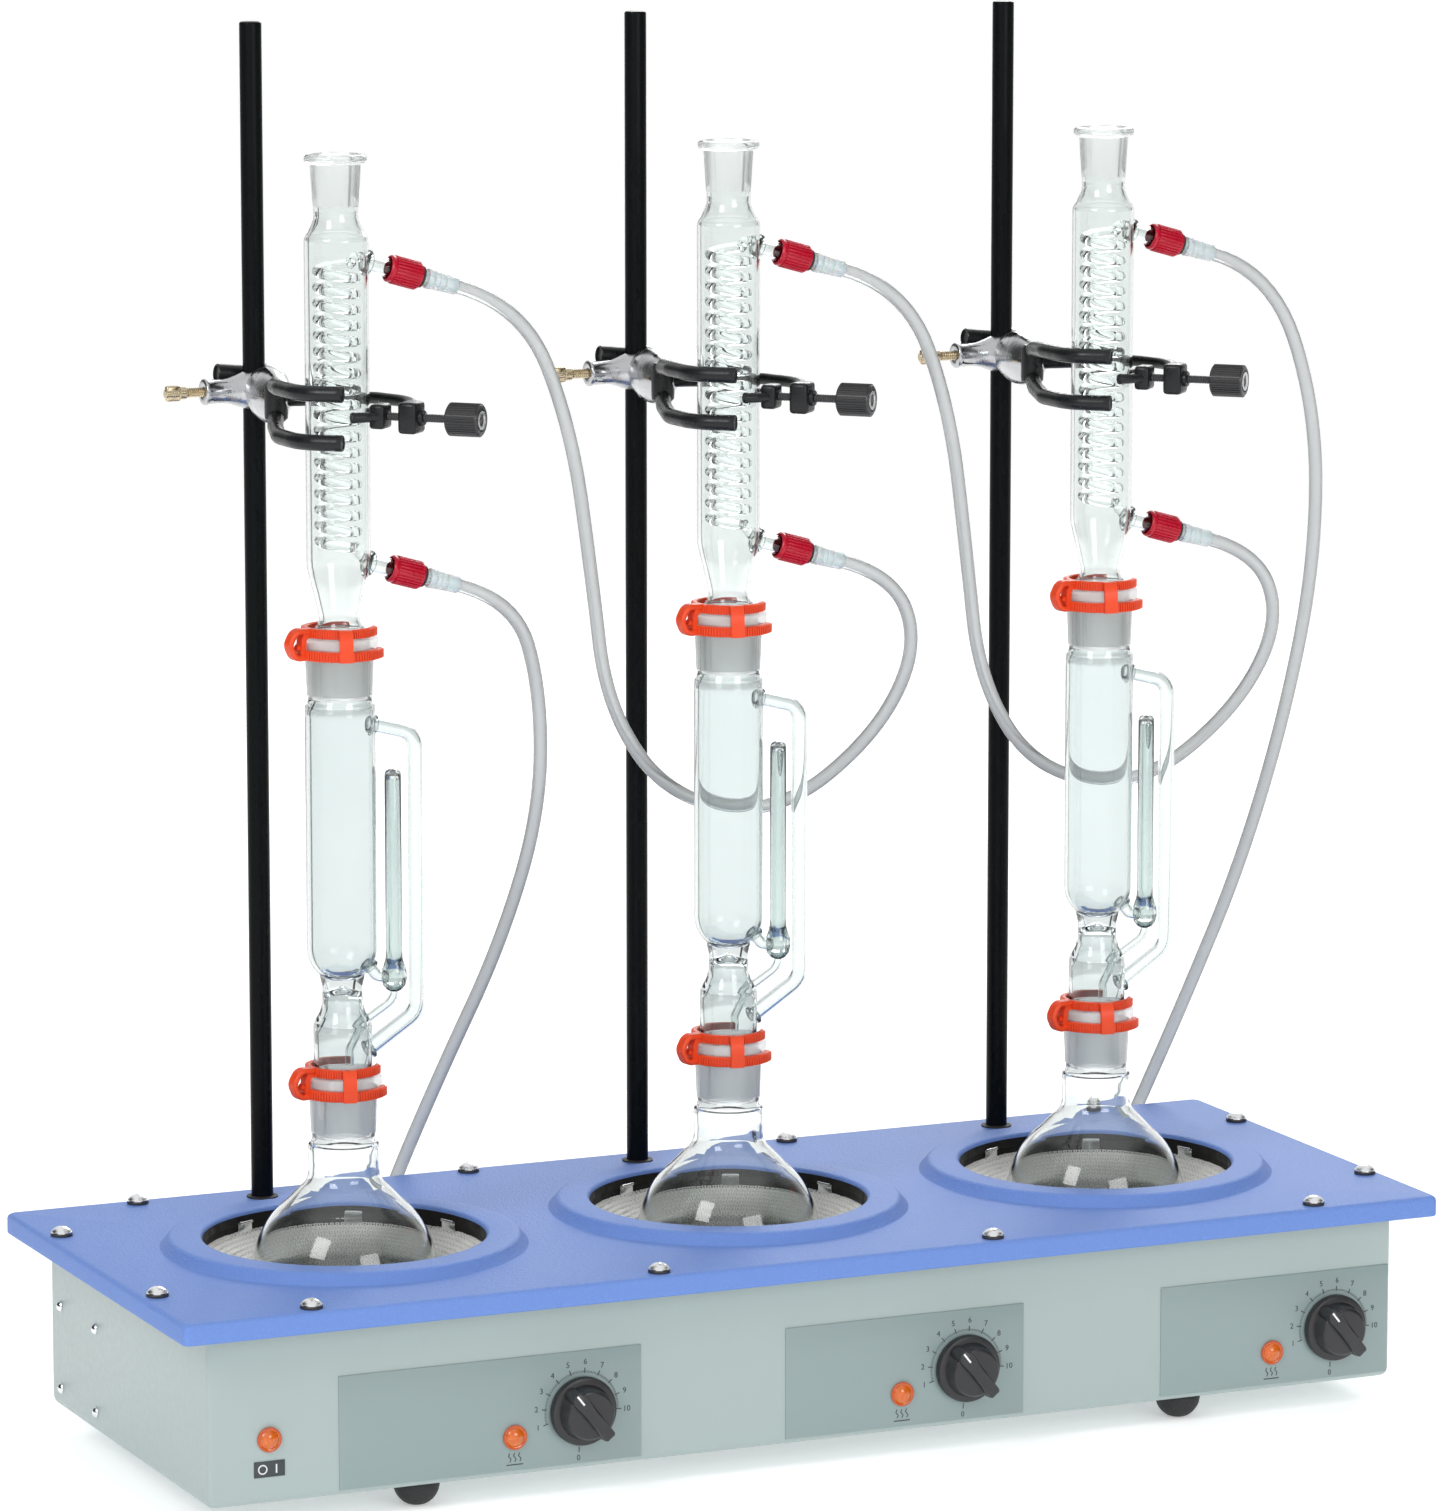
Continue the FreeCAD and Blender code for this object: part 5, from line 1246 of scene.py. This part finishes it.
for station, axis in axes.items():
    boss = bmesh.new()
    collar = [(3.0, -24.0), (3.0, -30.5), (3.5, -31.0), (6.8, -31.0), (7.5, -30.4), (7.5, -28.8),
              (6.9, -28.2), (6.9, -19.0), (7.2, -16.0), (8.6, -11.5), (11.0, -5.0), (13.4, 1.0),
              (14.8, 5.0)] + arc(0, 6.0, 15.0, 2, 90, 14)
    add_turned(boss, [(0, -24.0)] + collar, at=ROD_POINT, along=(1, 0, 0), steps=56)
    lean = Matrix.Rotation(math.radians(-98.9), 3, "Z")
    body_middle = ROD_POINT + Vector((-2, -30, 0))
    loops = []
    for index in range(33):
        turn_angle = math.pi * (index + 0.5) / 33
        reach, girth = -math.cos(turn_angle), math.sin(turn_angle) ** 0.85
        loop = []
        for step in range(48):
            angle = FULL * step / 48
            ridge = 0.5 if step in (0, 24) else 0.0
            loop.append(body_middle + lean @ Vector((35.6 * reach, (11.3 * girth + ridge) * math.cos(angle),
                                                     15.5 * girth * math.sin(angle))))
        loops.append(loop)
    add_stack(boss, loops)
    made(f"clamp_boss_{station}", boss, casting, f"clamp_{station}", (f"clamp_body_{station}",),
         at=axis, crease=50)

    screw = bmesh.new()
    thread = [(0, -46.0), (2.3, -46.0)]
    for turn_number in range(14):
        low = -44.4 + turn_number * 1.25
        thread += [(2.3, low), (2.78, low + 0.45), (2.78, low + 0.7), (2.3, low + 1.15)]
    thread += [(2.7, -26.0), (2.7, -7.4), (0, -7.4)]
    add_turned(screw, thread, at=ROD_POINT, along=(1, 0, 0), steps=32)
    add_turned(screw, [(0, -45.6), (3.2, -45.6), (3.6, -45.2), (3.6, -41.5), (3.2, -41.1), (0, -41.1)],
               at=ROD_POINT, along=(1, 0, 0), steps=28)
    add_box(screw, ROD_POINT + Vector((-53.5, -2.0, -4.5)), ROD_POINT + Vector((-44.6, 2.0, 4.5)), 1.4)
    add_turned(screw, [(0, -54.0), (2.2, -54.0), (2.7, -53.5), (2.7, -46.0), (0, -46.0)], at=ROD_POINT,
               along=(1, 0, 0), steps=24)
    made(f"clamp_screw_{station}", screw, brass, f"thumbscrew_{station}", (f"clamp_thumbscrew_{station}",),
         at=axis)

    fork = bmesh.new()
    for side in (1, -1):
        level = CLAMP_HEIGHT + side * 13.5
        path = bent([(-9, 72, level - 5.5 * side), (-18, 50, level - 2 * side), (-26.5, 22, level),
                     (-25.4, -9.2, level), (-7.2, -23.4, level)], 26, 9)
        add_tube(fork, path, 4.5, 28)
        add_turned(fork, [(0, -3.0), (4.6, -3.0), (4.65, 0.6), (4.3, 1.2), (3.3, 1.3), (3.1, 0.7), (0, 0.7)],
                   at=path[-1], along=(path[-1] - path[-2]).normalized(), steps=32)
    bridge = bent([(-6, 74, CLAMP_HEIGHT), (14, 52, CLAMP_HEIGHT + 2), (32, 26, CLAMP_HEIGHT + 5),
                   (43, -4, CLAMP_HEIGHT + 5), (33, -31, CLAMP_HEIGHT + 4)], 34, 8)
    add_tube(fork, bridge, 3.35, 24)
    add_turned(fork, [(0, -11.4), (5.0, -11.2), (6.5, -9.6), (6.7, -7.0), (6.7, 7.0), (6.5, 9.6),
                      (5.0, 11.2), (0, 11.4)],
               at=Vector((-9, 72, CLAMP_HEIGHT)), steps=36)
    tail_line = Vector((1, 0, -0.1)).normalized()
    add_turned(fork, [(0, 1.2), (4.2, 1.2), (4.4, 0.1), (4.9, 0), (5.4, 0.6), (5.4, 25.2), (4.6, 26.0),
                      (0, 26.0)],
               at=ROD_POINT + Vector((-18, 13.4, 9)), along=tail_line, steps=32)
    add_box(fork, beside(44.5) - Vector((5.5, 7.5, 8.8)), beside(44.5) + Vector((5.5, 7.5, 8.8)), 2.2, 3,
            GRIP_TURN)
    add_turned(fork, [(2.5, 48), (4.6, 48), (4.6, 51.8), (4.1, 52.3), (2.6, 52.3)], at=CLAMP,
               along=GRIP_LINE, steps=36)
    made(f"clamp_fork_{station}", fork, vinyl_dip, f"clamp_{station}", (f"clamp_frame_{station}",),
         at=axis)

    jaw = bmesh.new()
    add_box(jaw, beside(25.9) - Vector((4.5, 6.4, 6.9)), beside(25.9) + Vector((4.5, 6.4, 6.9)), 2.0, 3,
            GRIP_TURN)
    for side in (1, -1):
        finger = bent([beside(26.5, 3.4 * side), beside(20.2, 10.6 * side), beside(15.8, 14.6 * side)], 8, 6)
        add_tube(jaw, finger, 2.9, 24)
        add_turned(jaw, [(0, -1.0), (3.1, -1.0), (3.1, 0.5), (2.7, 1.1), (0, 1.2)], at=finger[-1],
                   along=(finger[-1] - finger[-2]).normalized(), steps=24)
    made(f"clamp_pad_{station}", jaw, vinyl_dip, f"jaw_{station}", (f"clamp_jaw_{station}",),
         at=axis)

    spindle = bmesh.new()
    thread = [(0, 27.0)]
    for turn_number in range(27):
        low = 27.4 + turn_number * 1.45
        thread += [(2.05, low), (2.38, low + 0.5), (2.38, low + 0.8), (2.05, low + 1.3)]
    thread += [(2.3, 67.4), (0, 67.4)]
    add_turned(spindle, thread, at=CLAMP, along=GRIP_LINE, steps=20)
    made(f"adjuster_screw_{station}", spindle, moulded_black, f"adjuster_{station}", (),
         at=axis)
    knob = bmesh.new()
    add_turned(knob, [(0, 67.0), (4.8, 67.0), (5.4, 67.2), (8.2, 67.4), (8.8, 68.2), (8.8, 85.6), (8.2, 86.4),
                      (6.4, 86.6), (6.0, 85.8), (0, 85.8)], at=CLAMP, along=GRIP_LINE, steps=60)
    frame_turn = Vector((0, 0, 1)).rotation_difference(GRIP_LINE).to_matrix()
    for lobe in range(36):
        angle = FULL * lobe / 36
        way = frame_turn @ Vector((math.cos(angle), math.sin(angle), 0))
        spot = CLAMP + GRIP_LINE * 76.9 + way * 8.85
        add_tube(knob, [spot - GRIP_LINE * 8.8, spot - GRIP_LINE * 8.3, spot + GRIP_LINE * 8.3,
                        spot + GRIP_LINE * 8.8], 0.5, 6)
    made(f"adjuster_knob_{station}", knob, moulded_black, f"adjuster_{station}",
         (f"clamp_adjuster_{station}",), at=axis)
    ring = bmesh.new()
    add_turned(ring, [(3.4, 85.9), (5.4, 85.9), (5.5, 86.3), (5.4, 86.7), (3.6, 86.7), (3.4, 86.3)],
               at=CLAMP, along=GRIP_LINE, steps=36)
    made(f"adjuster_ring_{station}", ring, screw_steel, f"adjuster_{station}", (), at=axis)
